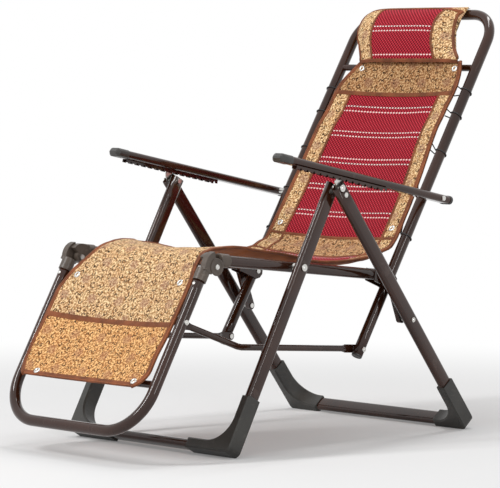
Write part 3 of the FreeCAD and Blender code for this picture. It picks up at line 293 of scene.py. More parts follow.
class Wire:
    """Output of a shader node. Operators on it add Math nodes to its tree."""

    def __init__(self, tree, socket=None):
        self.tree = tree
        self.socket = socket

    def add(self, kind, settings=None, sockets=None, out=0):
        """Add a node: its settings first, then values or links for its sockets."""
        node = self.tree.nodes.new(kind)
        for name, value in (settings or {}).items():
            setattr(node, name, value)
        for name, value in (sockets or {}).items():
            if isinstance(value, Wire):
                self.tree.links.new(value.socket, node.inputs[name])
            else:
                node.inputs[name].default_value = value
        return Wire(self.tree, node.outputs[out] if len(node.outputs) else None)

    def other(self, name):
        """Another output of the same node."""
        return Wire(self.tree, self.socket.node.outputs[name])

    def maths(self, operation, *others):
        """Math node that takes this value first."""
        return self.add("ShaderNodeMath", {"operation": operation}, dict(enumerate((self, *others))))

    def __add__(self, value):
        return self.maths("ADD", value)

    def __sub__(self, value):
        return self.maths("SUBTRACT", value)

    def __rsub__(self, value):
        return self.add("ShaderNodeMath", {"operation": "SUBTRACT"}, {0: value, 1: self})

    def __mul__(self, value):
        return self.maths("MULTIPLY", value)

    def __truediv__(self, value):
        return self.maths("DIVIDE", value)

    def __lt__(self, value):
        return self.maths("LESS_THAN", value)

    def __gt__(self, value):
        return self.maths("GREATER_THAN", value)

    __radd__ = __add__
    __rmul__ = __mul__

    def rise(self, low, high):
        """0 below low, 1 above high and a smooth rise between."""
        return self.add("ShaderNodeMapRange", {"interpolation_type": "SMOOTHSTEP"},
                        {"Value": self, "From Min": low, "From Max": high})

    def tint(self, low, high, how="MIX"):
        """Colour low where this value is 0 and high where it is 1."""
        ends = [(*end, 1) if isinstance(end, tuple) else end for end in (low, high)]
        return self.add("ShaderNodeMix", {"data_type": "RGBA", "blend_type": how},
                        {0: self, 6: ends[0], 7: ends[1]}, out=2)

    def stretched(self, x, y, z):
        """This place with its axes stretched."""
        return self.add("ShaderNodeVectorMath", {"operation": "MULTIPLY"}, {0: self, 1: (x, y, z)})

    def grain(self, scale, detail=2.0, out=0):
        """Noise at this place, scale in grains per metre."""
        return self.add("ShaderNodeTexNoise", {}, {"Vector": self, "Scale": scale, "Detail": detail}, out)

    def spots(self, scale, random):
        """Distance to the nearest of scattered spots, in spot spacings."""
        return self.add("ShaderNodeTexVoronoi", {"feature": "F1"},
                        {"Vector": self, "Scale": scale, "Randomness": random})

    def bumped(self, distance, strength):
        """Normal of a surface that rises by distance where this value is 1."""
        return self.add("ShaderNodeBump", {}, {"Height": self, "Distance": distance, "Strength": strength})

    def within(self, low, high):
        """1 between low and high, else 0."""
        return (self > low) * (self < high)


def blank(holder):
    """Emptied node tree of a material or a world."""
    holder.use_nodes = True
    holder.node_tree.nodes.clear()
    return Wire(holder.node_tree)


def placed(name, data):
    """Object for some data, put into the scene."""
    thing = bpy.data.objects.new(name, data)
    bpy.context.scene.collection.objects.link(thing)
    return thing


def finish_material(name, make):
    """Material whose Principled shader is filled by make(wire, shader), made once."""
    if name in bpy.data.materials:
        return bpy.data.materials[name]
    material = bpy.data.materials.new(name)
    wire = blank(material)
    result = wire.add("ShaderNodeBsdfPrincipled")
    wire.add("ShaderNodeOutputMaterial", {}, {"Surface": result})
    make(wire, result.socket.node)
    return material


def feed(wire, shader, values):
    """Links or plain values for the shader's sockets."""
    for name, value in values.items():
        if isinstance(value, Wire):
            wire.tree.links.new(value.socket, shader.inputs[name])
        else:
            shader.inputs[name].default_value = value


def object_place(wire):
    return wire.add("ShaderNodeTexCoord").other("Object")


def uv_place(wire, layer="pattern"):
    return wire.add("ShaderNodeUVMap", {"uv_map": layer})


def wire_parts(vector):
    """First two parts of a vector."""
    parts = vector.add("ShaderNodeSeparateXYZ", {}, {"Vector": vector})
    return parts, parts.other("Y")


def shown_plainly(wire):
    """1 where the camera sees a thing itself, its mirror image or it through glass, else 0."""
    path = wire.add("ShaderNodeLightPath")
    mirrored, through = path.other("Is Glossy Ray"), path.other("Is Transmission Ray")
    return path.maths("MAXIMUM", mirrored).maths("MAXIMUM", through)


def shaded(tone, factor):
    """Plain colour made lighter or darker."""
    return tuple(min(1.0, part * factor) for part in tone)


def paint_finish(wire, shader):
    base = rgb("paint")
    place = object_place(wire)
    cloud = place.grain(7, 3).rise(0.3, 0.7)
    speck = place.grain(900, 1).rise(0.66, 0.74)
    scratch = place.stretched(1, 0.08, 0.08).grain(300, 4).rise(0.64, 0.70)
    tone = cloud.tint(shaded(base, 0.8), shaded(base, 1.3))
    tone = (speck * 0.25).tint(tone, shaded(base, 3))
    peel = place.grain(420, 2)
    feed(wire, shader, {"Base Color": (scratch * 0.2).tint(tone, (0.12, 0.085, 0.07)),
                        "Roughness": 0.20 + cloud * 0.06 + scratch * 0.12,
                        "Specular IOR Level": 0.10, "Coat Weight": 0.75, "Coat Roughness": 0.03,
                        "Normal": peel.bumped(0.00025, 0.2)})


def moulded_finish(base, rough, grain_scale):
    """Moulded plastic: fine spark-eroded grain, soft mottling and scuffs."""
    def make(wire, shader):
        place = object_place(wire)
        cloud = place.grain(18, 3).rise(0.3, 0.75)
        grain = place.grain(grain_scale, 2)
        scuff = place.stretched(1, 0.3, 1).grain(120, 5).rise(0.60, 0.72)
        tone = cloud.tint(shaded(base, 0.8), shaded(base, 1.25))
        feed(wire, shader, {"Base Color": (scuff * 0.35).tint(tone, shaded(base, 2.6)),
                            "Roughness": rough + grain * 0.12 + scuff * 0.1, "Specular IOR Level": 0.45,
                            "Normal": (grain + scuff * 0.3).bumped(0.0004, 0.5)})
    return make


def zinc_finish(wire, shader):
    base = rgb("zinc")
    place = object_place(wire)
    brushed = place.stretched(1, 1, 4).grain(500, 3)
    stain = place.grain(90, 3).rise(0.52, 0.8)
    feed(wire, shader, {"Base Color": (stain * 0.5).tint(base, shaded(base, 0.5)), "Metallic": 1.0,
                        "Roughness": 0.22 + brushed * 0.14 + stain * 0.15,
                        "Normal": brushed.bumped(0.0001, 0.4)})


def lining_finish(wire, shader):
    base = rgb("lining")
    place = uv_place(wire)
    across, along = wire_parts(place)
    twill = ((across + along) * TWILL).maths("SINE")
    cloud = place.grain(14, 3).rise(0.3, 0.7)
    tone = cloud.tint(shaded(base, 0.75), shaded(base, 1.2))
    feed(wire, shader, {"Base Color": (twill * 0.15 + 0.15).tint(tone, shaded(base, 1.9)),
                        "Roughness": 0.8 + twill * 0.06, "Sheen Weight": 0.05, "Specular IOR Level": 0.15,
                        "Normal": twill.bumped(0.0003, 0.6)})


def ribbon_finish(wire, shader):
    """Grosgrain ribbon: ribs across it and a row of lighter stitches."""
    base = rgb("ribbon")
    turn, along = wire_parts(uv_place(wire))
    ribs = (along * (math.tau / 0.0014)).maths("SINE")
    stitch = (along / 0.0045).maths("FRACT").rise(0.25, 0.4)
    line = (turn - 0.78).maths("ABSOLUTE") < 0.025
    cloud = object_place(wire).grain(25, 3).rise(0.3, 0.75)
    tone = cloud.tint(shaded(base, 0.75), shaded(base, 1.45))
    seam = stitch * line
    feed(wire, shader, {"Base Color": (seam * 0.7).tint(tone, shaded(base, 3.2)),
                        "Roughness": 0.62 + cloud * 0.12, "Sheen Weight": 0.06, "Specular IOR Level": 0.15,
                        "Normal": (ribs * 0.5 + seam).bumped(0.0004, 0.8)})


def elastic_finish(wire, shader):
    place = object_place(wire)
    braid = place.grain(1300, 1).rise(0.35, 0.65)
    feed(wire, shader, {"Base Color": braid.tint((0.010, 0.010, 0.011), (0.045, 0.044, 0.046)),
                        "Roughness": 0.7 + braid * 0.1, "Normal": braid.bumped(0.0003, 0.7)})


def repeated(value, width, offset=0.0):
    """Distance from the middle of the nearest repeat, as a share from -0.5 to 0.5."""
    shifted = (value - offset) / width + 0.5
    return shifted.maths("FRACT") - 0.5


def arc(x, y, centre, radius, gap_from, gap_to):
    """Mask of one curled scroll: part of a ring, in metres within a repeat of the pattern."""
    dx, dy = x - centre[0], y - centre[1]
    square = dx * dx + dy * dy
    off = square.maths("SQRT") - radius
    body = 1 - off.maths("ABSOLUTE").rise(0.0007, 0.0017)
    return body * (1 - dy.maths("ARCTAN2", dx).within(gap_from, gap_to))


def brocade(place, along):
    """Gold brocade: colour with painted highlights on its threads, height and dark share of its threads."""
    gold, scroll = rgb("gold"), rgb("scroll")
    wide, high = REPEAT
    drift = place.grain(60, 2, out=1)
    bent = place.add("ShaderNodeVectorMath", {"operation": "MULTIPLY_ADD"},
                     {0: drift, 1: (0.006, 0.006, 0), 2: place})
    moved = wire_parts(bent)
    row = (along / high).maths("FLOOR")
    x = repeated(moved[0] + row * 0.047, wide) * wide
    y = repeated(moved[1] - 0.003, high, 0.0255) * high
    curls = None
    for curl in CURLS:
        mark = arc(x, y, *curl)
        curls = mark if curls is None else curls.maths("MAXIMUM", mark)
    slanted = bent.add("ShaderNodeMapping", {"vector_type": "TEXTURE"},
                       {"Vector": bent, "Rotation": (0, 0, 0.8), "Scale": (1.35, 1, 1)})
    strokes = 1 - slanted.spots(118, 0.7).rise(0.17, 0.30)
    threads = slanted.spots(205, 0.8).rise(0.20, 0.50)
    # Painted highlight: fine noise that lightens the gold as if its threads caught the light; it also raises the
    # bump.
    painted_highlight = slanted.grain(240, 1).rise(0.44, 0.58)
    radius = (x * x + y * y * 1.2).maths("SQRT")
    petals = (y.maths("ARCTAN2", x) * 8).maths("COSINE") * 0.0022 + 0.0145
    flower = 1 - (radius - petals).rise(-0.003, 0.003)
    heart = (1 - radius.rise(0.0055, 0.0085)) * strokes
    patch = place.grain(32, 2).rise(0.42, 0.62)
    tone = painted_highlight.tint(shaded(gold, 0.62), (1.0, 0.73, 0.41))
    tone = ((1 - threads) * 0.5).tint(tone, shaded(gold, 0.42))
    tone = (patch * 0.2).tint(tone, (0.80, 0.50, 0.36), "MULTIPLY")
    tone = (flower * 0.42).tint(tone, (0.30, 0.15, 0.12))
    tone = (strokes * 0.95).tint(tone, shaded(scroll, 1.4))
    tone = (curls * 0.96).tint(tone, scroll)
    dark = (curls + strokes * 0.5 + heart * 0.3).maths("MINIMUM", 1)
    return tone, painted_highlight * 0.4 + threads * 0.4 + flower * 0.2 - curls * 0.7 - strokes * 0.4, dark


def weave(across, along):
    """Red panel: staggered light and dark threads with rows of white dots."""
    lobes = (across * (math.tau / RED_PITCH)).maths("COSINE") * (along * (math.tau / 0.0094)).maths("COSINE")
    tone = lobes.rise(-0.70, 0.10).tint(rgb("wine"), rgb("red"))
    tone = (lobes.rise(0.35, 0.85) * 0.75).tint(tone, (0.78, 0.10, 0.13))
    beside = repeated(along, 0.082, 1.150).maths("ABSOLUTE") - 0.085
    line = 1 - beside.maths("ABSOLUTE").rise(0.014, 0.028)
    white = line * (1 - repeated(across, RED_PITCH).maths("ABSOLUTE").rise(0.22, 0.34))
    return (white * 0.95).tint(tone, (0.95, 0.80, 0.76)), lobes * 0.5 + white


def mat_finish(wire, shader):
    border = sizes().border
    place = uv_place(wire)
    across, along = wire_parts(place)
    from_right, from_left = wire_parts(uv_place(wire, "edges"))
    rim = from_right.maths("MINIMUM", from_left)
    gold, gold_height, dark = brocade(place, along)
    red, red_height = weave(across, along)
    waist = along.within(LUMBAR_FROM, LUMBAR_TO)
    band = along.within(BAND_FROM, MAT_END + 0.02)
    inner = (rim > border) * ((along > SEAT_SEAM) * (1 - waist) * (1 - band))
    for share, tint in (((along < LEG_SEAM) * 0.6, (1.0, 0.72, 0.42)), (band * 0.75, (0.60, 0.48, 0.40)),
                        # Painted shade: the lumbar strip inside the borders is darkened as if in shadow.
                        (waist * (rim > border) * 0.7, (0.62, 0.50, 0.46)),
                        (along.within(LEG_SEAM, SEAT_SEAM) * 0.2, (0.90, 0.90, 1.0))):
        gold = share.tint(gold, tint, "MULTIPLY")
    tone = inner.tint(gold, red)
    cloud = place.grain(9, 3).rise(0.3, 0.7) * 0.3
    tone = cloud.tint(tone, (0.80, 0.76, 0.74), "MULTIPLY")
    height = gold_height * (1 - inner) + red_height * inner
    feed(wire, shader, {"Base Color": tone, "Roughness": 0.62 + dark * 0.12 * (1 - inner) + inner * 0.1,
                        "Sheen Weight": 0.04, "Sheen Roughness": 0.5, "Specular IOR Level": 0.10,
                        "Normal": height.bumped(0.0009, 0.7)})


def materials():
    """The finishes of the lounger by slot name."""
    return {
        "frame_paint": finish_material("tube_gloss_paint", paint_finish),
        "foot_plastic": finish_material("foot_moulding", moulded_finish(rgb("foot"), 0.34, 1500)),
        "elbow_plastic": finish_material("elbow_moulding", moulded_finish(rgb("elbow"), 0.30, 1100)),
        "cap_plastic": finish_material("cap_moulding", moulded_finish(rgb("cap"), 0.28, 1300)),
        "steel": finish_material("zinc_plate", zinc_finish),
        "mat_fabric": finish_material("brocade_and_weave", mat_finish),
        "pillow_fabric": finish_material("brocade_and_weave", mat_finish),
        "lining": finish_material("mat_lining_twill", lining_finish),
        "ribbon": finish_material("binding_ribbon", ribbon_finish),
        "elastic": finish_material("lacing_elastic", elastic_finish),
    }


def mesh_piece(name, points, faces, finishes, body=None, layers=None, picks=None):
    """Smooth mesh object: layers holds a UV pair per point, picks a material number per face."""
    mesh = bpy.data.meshes.new(name)
    mesh.from_pydata([tuple(point) for point in points], [], faces)
    for layer, pairs in (layers or {}).items():
        data = mesh.uv_layers.new(name=layer).data
        for loop in mesh.loops:
            data[loop.index].uv = pairs[loop.vertex_index]
    for finish in finishes:
        mesh.materials.append(finish)
    for polygon in mesh.polygons:
        polygon.use_smooth = True
        if picks:
            polygon.material_index = picks[polygon.index]
    piece = placed(name, mesh)
    if body:
        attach(piece, body)
    return piece


def tube_faces(rings, count):
    """Faces between rings of count points each, and one over either end."""
    faces = [(row * count + step, row * count + (step + 1) % count,
              (row + 1) * count + (step + 1) % count, (row + 1) * count + step)
             for row in range(rings - 1) for step in range(count)]
    last = (rings - 1) * count
    return faces + [tuple(reversed(range(count))), tuple(range(last, last + count))]


def forward_at(path, index):
    """Way from the point before to the point after."""
    return path[min(index + 1, len(path) - 1)] - path[max(index - 1, 0)]


def sweep(name, path, sides, wide, thick, finish, body=None, hollow=(False, False), segments=24):
    """Tube along a path. Its wide way follows sides; a hollow end shows its wall and its inside."""
    sides = [sides] * len(path) if isinstance(sides, Vector) else sides
    lengths = [0.0]
    for before, after in zip(path, path[1:]):
        lengths.append(lengths[-1] + (after - before).length)

    def ring(index, inset=0.0, back=0.0):
        forward = forward_at(path, index).normalized()
        side = sides[index] - forward * sides[index].dot(forward)
        side.normalize()
        other = forward.cross(side)
        spots = []
        for step in range(segments):
            angle = math.tau * (step + 0.5) / segments
            stretch = math.copysign((wide - thick) / 2, math.cos(angle))
            spots.append(path[index] + forward * back + side * (stretch + math.cos(angle) * (thick / 2 - inset))
                         + other * math.sin(angle) * (thick / 2 - inset))
        return spots, lengths[index]

    def end(index, inwards, is_hollow):
        edge = ring(index, thick * 0.02)
        if is_hollow:
            return [ring(index, TUBE_WALL, inwards * HOLLOW_DEPTH), ring(index, TUBE_WALL), edge]
        return [ring(index, thick * 0.3), edge]

    last = len(path) - 1
    order = end(0, 1, hollow[0]) + [ring(index) for index in range(len(path))] + end(last, -1, hollow[1])[::-1]
    points = [point for spots, _ in order for point in spots]
    pairs = [(step / segments, length) for _, length in order for step in range(segments)]
    return mesh_piece(name, points, tube_faces(len(order), segments), [finish], body, {"pattern": pairs})


def lathe(name, profile, centre, axis, slot, body, segments=24):
    """Turned piece: profile lists radius and height along the axis."""
    axis = Vector(axis).normalized()
    first = axis.orthogonal().normalized()
    second = axis.cross(first)
    points = []
    for radius, height in profile:
        for step in range(segments):
            angle = math.tau * step / segments
            points.append(Vector(centre) + axis * height
                          + (first * math.cos(angle) + second * math.sin(angle)) * radius)
    piece = mesh_piece(name, points, tube_faces(len(profile), segments), [materials()[slot]], body)


def round_corner(half, bend, length):
    """U shaped line: half width, bend radius and length from its bar, as X and the way along."""
    steps = 14
    line = [(-half, length), (-half, length - 0.06)]
    for step in range(steps + 1):
        angle = math.pi / 2 * step / steps
        line.append((-half + bend * (1 - math.cos(angle)), bend * (1 - math.sin(angle))))
    line += [(x, 0) for x in (-half / 3, half / 3)]
    return line + [(-x, u) for x, u in reversed(line[:-2])]


def u_tube(name, half, bend, length, start, up, wide, thick, hollow, body, node):
    """Painted U tube that takes the place of a solid."""
    path = [spot(x, start + up * u) for x, u in round_corner(half, bend, length)]
    flat = quarter(up)
    piece = sweep(name, path, spot(0, flat), wide, thick, materials()["frame_paint"], body, hollow, 32)
    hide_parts(node)


def smooth_line(rows):
    """Curve through rows of Y, Z and a third value: the distance along it and the three values."""
    rows = np.array(rows, float)
    padded = np.vstack([2 * rows[0] - rows[1], rows, 2 * rows[-1] - rows[-2]])
    fine = []
    for a, b, c, d in zip(padded, padded[1:], padded[2:], padded[3:]):
        for t in np.linspace(0, 1, 12, endpoint=False):
            fine.append(b + 0.5 * ((c - a) * t + (2 * a - 5 * b + 4 * c - d) * t ** 2
                                   + (3 * b - a - 3 * c + d) * t ** 3))
    fine = np.array(fine + [rows[-1]])
    runs = np.linalg.norm(np.diff(fine[:, :2], axis=0), axis=1)
    return np.concatenate([[0], np.cumsum(runs)]), fine


MAT_WAY, MAT_FINE = smooth_line([(y / 1000, z / 1000, share) for y, z, share in MAT_LINE])


def edges_at(table, way):
    """Right and left edge from a table at a distance along it."""
    return [float(np.interp(way, table[:, 0], table[:, part])) for part in (1, 2)]


def mat_edges(way):
    return edges_at(MAT_EDGES, way)


def side_edge(edges, sign):
    """The edge of a pair that lies on the side of the sign."""
    return edges[0 if sign < 0 else 1]


def mat_spot(way, x, height=0.0):
    """Point of the mat's upper face, lifted by height, and the way out of the face."""
    at = [float(np.interp(way, MAT_WAY, MAT_FINE[:, part])) for part in range(3)]
    before, after = [np.array([np.interp(way + step, MAT_WAY, MAT_FINE[:, 0]),
                               np.interp(way + step, MAT_WAY, MAT_FINE[:, 1])]) for step in (-0.008, 0.008)]
    out = quarter((after - before) / np.linalg.norm(after - before))
    right, left = mat_edges(way)
    share = 2 * (x - right) / (left - right) - 1
    sag = sizes().mat_sag * at[2] * (1 - share ** 2)
    place = np.array([at[0], at[1]]) + out * (height - sag)
    return spot(x, place), spot(0, out)


def seam_distance(way, x):
    """Distance to the nearest seam or edge of the mat."""
    right, left = mat_edges(way)
    found = [x - right, left - x]
    found += [abs(way - seam) for seam in SEAMS]
    if SEAT_SEAM < way < BAND_FROM:
        found += [abs(x - right - sizes().border), abs(left - sizes().border - x)]
    return min(found)


def creases(way, x):
    """Small folds of the cloth, stronger where the mat bends."""
    near_knee = math.exp(-((way - 0.40) / 0.07) ** 2)
    near_hip = math.exp(-((way - 1.03) / 0.06) ** 2)
    broad = noise.noise(Vector((x * 7, way * 9, 3.1))) * 0.0022
    fine = noise.noise(Vector((x * 16, way * 46, 8.4))) * (0.0006 + 0.0014 * near_knee + 0.0016 * near_hip)
    return broad + fine


def padding(way, x):
    """Height of the padding over the mat's flat face, without its rounded rim."""
    return sizes().puff * (1 - math.exp(-(seam_distance(way, x) / 0.016) ** 1.4))


def spaced(low, high, count):
    """Places from low to high, closer together at both ends."""
    middle = np.linspace(low + RIM_ROWS[-1], high - RIM_ROWS[-1], count)
    return [low + row for row in RIM_ROWS] + list(middle)[1:-1] + [high - row for row in reversed(RIM_ROWS)]


def mat_piece(name, low, high, nodes):
    """Quilted half of the mat between two distances: padded face, lining and rounded rims."""
    ways = spaced(low, high, max(2, round((high - low - 2 * RIM_ROWS[-1]) / ROW_STEP)))
    points, pattern, rims = [], [], []
    thick = sizes().mat_thick
    for way in ways:
        right, left = mat_edges(way)
        across = spaced(right, left, COLUMNS)
        end_gap = way if low == 0 else (high - way if high == MAT_END else 1)
        for face, row, padded in ((1, across, 1), (-1, across[-2:0:-1], PADDING_BELOW)):
            for x in row:
                inside = min(x - right, left - x, end_gap)
                full = math.sqrt(max(0.0, 1 - (1 - min(inside, RIM_ROUND) / RIM_ROUND) ** 2))
                pressed = 0.5 + 0.5 * min(inside, RIM_PRESSED) / RIM_PRESSED
                lift = (thick / 2 * pressed + padding(way, x) * padded) * full
                place, _ = mat_spot(way, x, -thick / 2 + lift * face + creases(way, x))
                points.append(place)
                pattern.append((x, way))
                rims.append((x - right, left - x))
    ring = 2 * len(across) - 2
    top = len(across)
    faces = tube_faces(len(ways), ring)[:-2]
    picks = [0 if step < top - 1 else 1 for _ in ways[1:] for step in range(ring)]
    for row, flip in ((0, True), (len(ways) - 1, False)):
        for step in range(top - 1):
            cell = (step, step + 1, ring - step - 1, (ring - step) % ring)
            cell = list(dict.fromkeys(row * ring + corner for corner in cell))
            faces.append(tuple(reversed(cell)) if flip else tuple(cell))
            picks.append(0)
    faces = [tuple(reversed(face)) for face in faces]
    finishes = materials()
    piece = mesh_piece(name, points, faces, [finishes["mat_fabric"], finishes["lining"]], None,
                       {"pattern": pattern, "edges": rims}, picks)
    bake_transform(piece)
    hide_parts(*nodes)


def crosswise(path, outs):
    """Way across a ribbon at each point of its path."""
    return [forward_at(path, index).cross(out).normalized() for index, out in enumerate(outs)]


def trim(name, places, wide, high, lift, finish):
    """Ribbon laid on the mat: places are distances along it and X."""
    path, outs = zip(*(mat_spot(way, x, lift + creases(way, x)) for way, x in places))
    piece = sweep(name, path, crosswise(path, outs), wide, high, finish, segments=16)
    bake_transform(piece)


def edge_places(low, high, sign, inset):
    """Places along one side edge of the mat, inset from it."""
    ways = np.linspace(low, high, max(2, round((high - low) / RIBBON_STEP)))
    return [(way, side_edge(mat_edges(way), sign) - sign * inset) for way in ways]


def cross_places(way, inset=0.004):
    """Places across the mat at a distance along it."""
    right, left = mat_edges(way)
    return [(way, x) for x in np.linspace(right + inset, left - inset, 40)]


class LOUNGER_OT_frames(bpy.types.Operator):
    """Bent painted tubes: both leg frames, the back frame and the footrest frame"""

    bl_idname = "lounger.frames"
    bl_label = "Bent tube frames"

    def execute(self, context):
        for name, y, half in (("front", -0.349, 0.2765), ("rear", 0.5, 0.3025)):
            bar = np.array([APEX[0] + y, BAR_HEIGHT])
            reach = np.linalg.norm(APEX - bar)
            u_tube(name + "_leg_tube", half, 0.062, reach + 0.008, bar, (APEX - bar) / reach, *LEG_OVAL,
                   (True, True), name + "_legs", name + "_leg_frame")
        u_tube("back_tube", TUBE_X, 0.085, 1.0385, HINGE + BACK_UP * 0.8205, -BACK_UP, TUBE, TUBE, (True, True),
               "back", "back_frame")
        u_tube("footrest_tube", TUBE_X, 0.112, 0.4365, KNEE + FOOT_OUT * FOOT_OFFSET - FOOT_UP * 0.457, FOOT_UP,
               TUBE, TUBE, (False, False), "footrest", "footrest_frame")
        return {"FINISHED"}


class LOUNGER_OT_hardware(bpy.types.Operator):
    """Finishes of the solid parts: rails, arms, racks, links, elbows, feet, caps and pins"""

    bl_idname = "lounger.hardware"
    bl_label = "Rails, arms, links and fittings"

    def execute(self, context):
        finishes = materials()
        slots = {part["node"]: part["material_slot"] for part in frame["record"]["subparts"]}
        for node, piece in frame["nodes"].items():
            for material_slot in piece.material_slots:
                material_slot.link = "OBJECT"
                material_slot.material = finishes[slots[node]]
        for node, body in PINS:
            low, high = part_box(node)
            radius = min(high.y - low.y, high.z - low.z) / 2
            centre = (low + high) / 2
            dome_rings = [(radius * share, height) for share, height in DOME]
            for name, sign in SIDES:
                face = Vector((high.x if sign > 0 else low.x, centre.y, centre.z))
                lathe(f"{node}_head_{name}", dome_rings, face, (sign, 0, 0), "steel", body)
            if node == "knee_rivets":
                for name, sign in SIDES:
                    face = Vector((sign * KNEE_DISC_X, centre.y, centre.z))
                    lathe("knee_disc_" + name, KNEE_DISC, face, (sign, 0, 0), "elbow_plastic", body, 48)
        for name, sign in SIDES:
            place = spot(sign * TUBE_X, KNEE + FOOT_OUT * (FOOT_OFFSET + 0.0135) - FOOT_UP * 0.062)
            lathe("tube_screw_" + name, SCREW, place, spot(0, FOOT_OUT), "steel", "footrest")
        return {"FINISHED"}


class LOUNGER_OT_mat(bpy.types.Operator):
    """Quilted mat in two halves that bend over the hip and the knee"""

    bl_idname = "lounger.mat"
    bl_label = "Quilted mat"

    def execute(self, context):
        mat_piece("mat_upper", SEAT_SEAM, MAT_END, ["mat_back"])
        mat_piece("mat_lower", 0, SEAT_SEAM, ["mat_seat", "mat_leg"])
        return {"FINISHED"}


class LOUNGER_OT_trim(bpy.types.Operator):
    """Binding round the mat and ribbons over its seams"""

    bl_idname = "lounger.trim"
    bl_label = "Bindings and ribbons"

    def execute(self, context):
        ribbon = materials()["ribbon"]
        rim = sizes().binding
        lift = 0.0022 - sizes().mat_thick / 2
        for side, sign in SIDES:
            for name, low, high, part in (("upper", SEAT_SEAM, MAT_END - 0.001, UPPER),
                                          ("lower", 0.001, SEAT_SEAM, LOWER)):
                trim(f"binding_{name}_{side}", edge_places(low, high, sign, rim * 0.4), rim, BINDING_HIGH, lift,
                     ribbon)
            trim(f"border_ribbon_{side}", edge_places(SEAT_SEAM, BAND_FROM, sign, sizes().border), 0.008, 0.003,
                 RIBBON_LIFT, ribbon)
        trim("binding_foot_end", cross_places(rim * 0.4, 0.008), rim, BINDING_HIGH, lift, ribbon)
        for name, way, wide, high, part in (("leg_seam_ribbon", LEG_SEAM, 0.014, 0.0034, LOWER),
                                            ("seat_seam_ribbon", SEAT_SEAM, 0.010, 0.003, UPPER),
                                            ("lumbar_ribbon_low", LUMBAR_FROM, 0.008, 0.003, UPPER),
                                            ("lumbar_ribbon_high", LUMBAR_TO, 0.008, 0.003, UPPER),
                                            ("band_ribbon", BAND_FROM, 0.012, 0.0034, UPPER)):
            trim(name, cross_places(way), wide, high, RIBBON_LIFT, ribbon)
        return {"FINISHED"}


class LOUNGER_OT_eyelets(bpy.types.Operator):
    """Metal eyelets pressed through the mat and the elastic lacing beside the back"""

    bl_idname = "lounger.eyelets"
    bl_label = "Eyelets and lacing"

    def execute(self, context):
        for number, (way, x) in enumerate(EYELETS, start=1):
            place, out = mat_spot(way, x, padding(way, x) + creases(way, x))
            lathe(f"eyelet_{number}", EYELET, place, out, "steel", "footrest" if way < 0.5 else "back")
        for name, sign in SIDES:
            for number, places in enumerate(TIES, start=1):
                self.tie(f"elastic_tie_{name}_{number}", sign, *places)
        return {"FINISHED"}

    def tie(self, name, sign, along, way, way_after):
        """Elastic that leaves the mat's edge, goes once round the back tube and returns."""
        def held(distance):
            return mat_spot(distance, side_edge(mat_edges(distance), sign) - sign * 0.006, -0.010)[0]

        around = []
        for step in range(13):
            angle = 0.4 + (math.tau - 0.8) * step / 12
            place = (HINGE + BACK_UP * (along + 0.010 * (0.5 - step / 12))
                     + BACK_OUT * math.sin(angle) * TIE_RADIUS)
            around.append(spot(sign * (TUBE_X - math.cos(angle) * TIE_RADIUS), place))
        path = [held(way), *around, held(way_after)]
        piece = sweep(name, path, Vector((0.1, 0.9, 0.3)), TIE_THICK, TIE_THICK, materials()["elastic"], "back",
                      segments=10)


def cushion_edges(along, _out):
    """Right and left edge of the cushion at a place of its outline."""
    return edges_at(PILLOW_EDGES, along)


def flap_edges(_along, out):
    """Right and left edge of the flap: it narrows behind the bar."""
    share = min(1.0, max(0.0, (0.018 - out) / 0.024))
    share = share * share * (3 - 2 * share)
    return [edge * (1 - share) + low * share for edge, low in zip(FLAP_TOP, FLAP_EDGES)]


def shell(line, side_edges, count, columns, slim):
    """Points and faces of an outline's closed shell, pressed thinner towards both sides by slim."""
    rows = np.array(line + [line[0]], float) / 1000
    runs = np.concatenate([[0], np.cumsum(np.linalg.norm(np.diff(rows, axis=0), axis=1))])
    outline = [(float(np.interp(at, runs, rows[:, 0])), float(np.interp(at, runs, rows[:, 1])))
               for at in np.linspace(0, runs[-1], count, endpoint=False)]
    points = []
    for step in range(columns + 1):
        share = -1 + 2 * step / columns
        for along, out in outline:
            right, left = side_edges(along, out)
            x = (right + left) / 2 + share * (left - right) / 2
            inner = float(np.interp(along, (0.64, 0.70, 0.80, 0.82, 0.84), (0.040, 0.027, 0.022, 0.019, 0.006)))
            lift = max(0.0, out - inner) * (1 - slim * abs(share) ** 6)
            points.append(spot(x, HINGE + BACK_UP * along + BACK_OUT * (min(out, inner) + lift)))
    return points, tube_faces(columns + 1, count)


def back_parts(place):
    """Distance along the back tube and out of it."""
    way = place - spot(0, HINGE)
    return way.y * BACK_UP[0] + way.z * BACK_UP[1], way.y * BACK_OUT[0] + way.z * BACK_OUT[1]


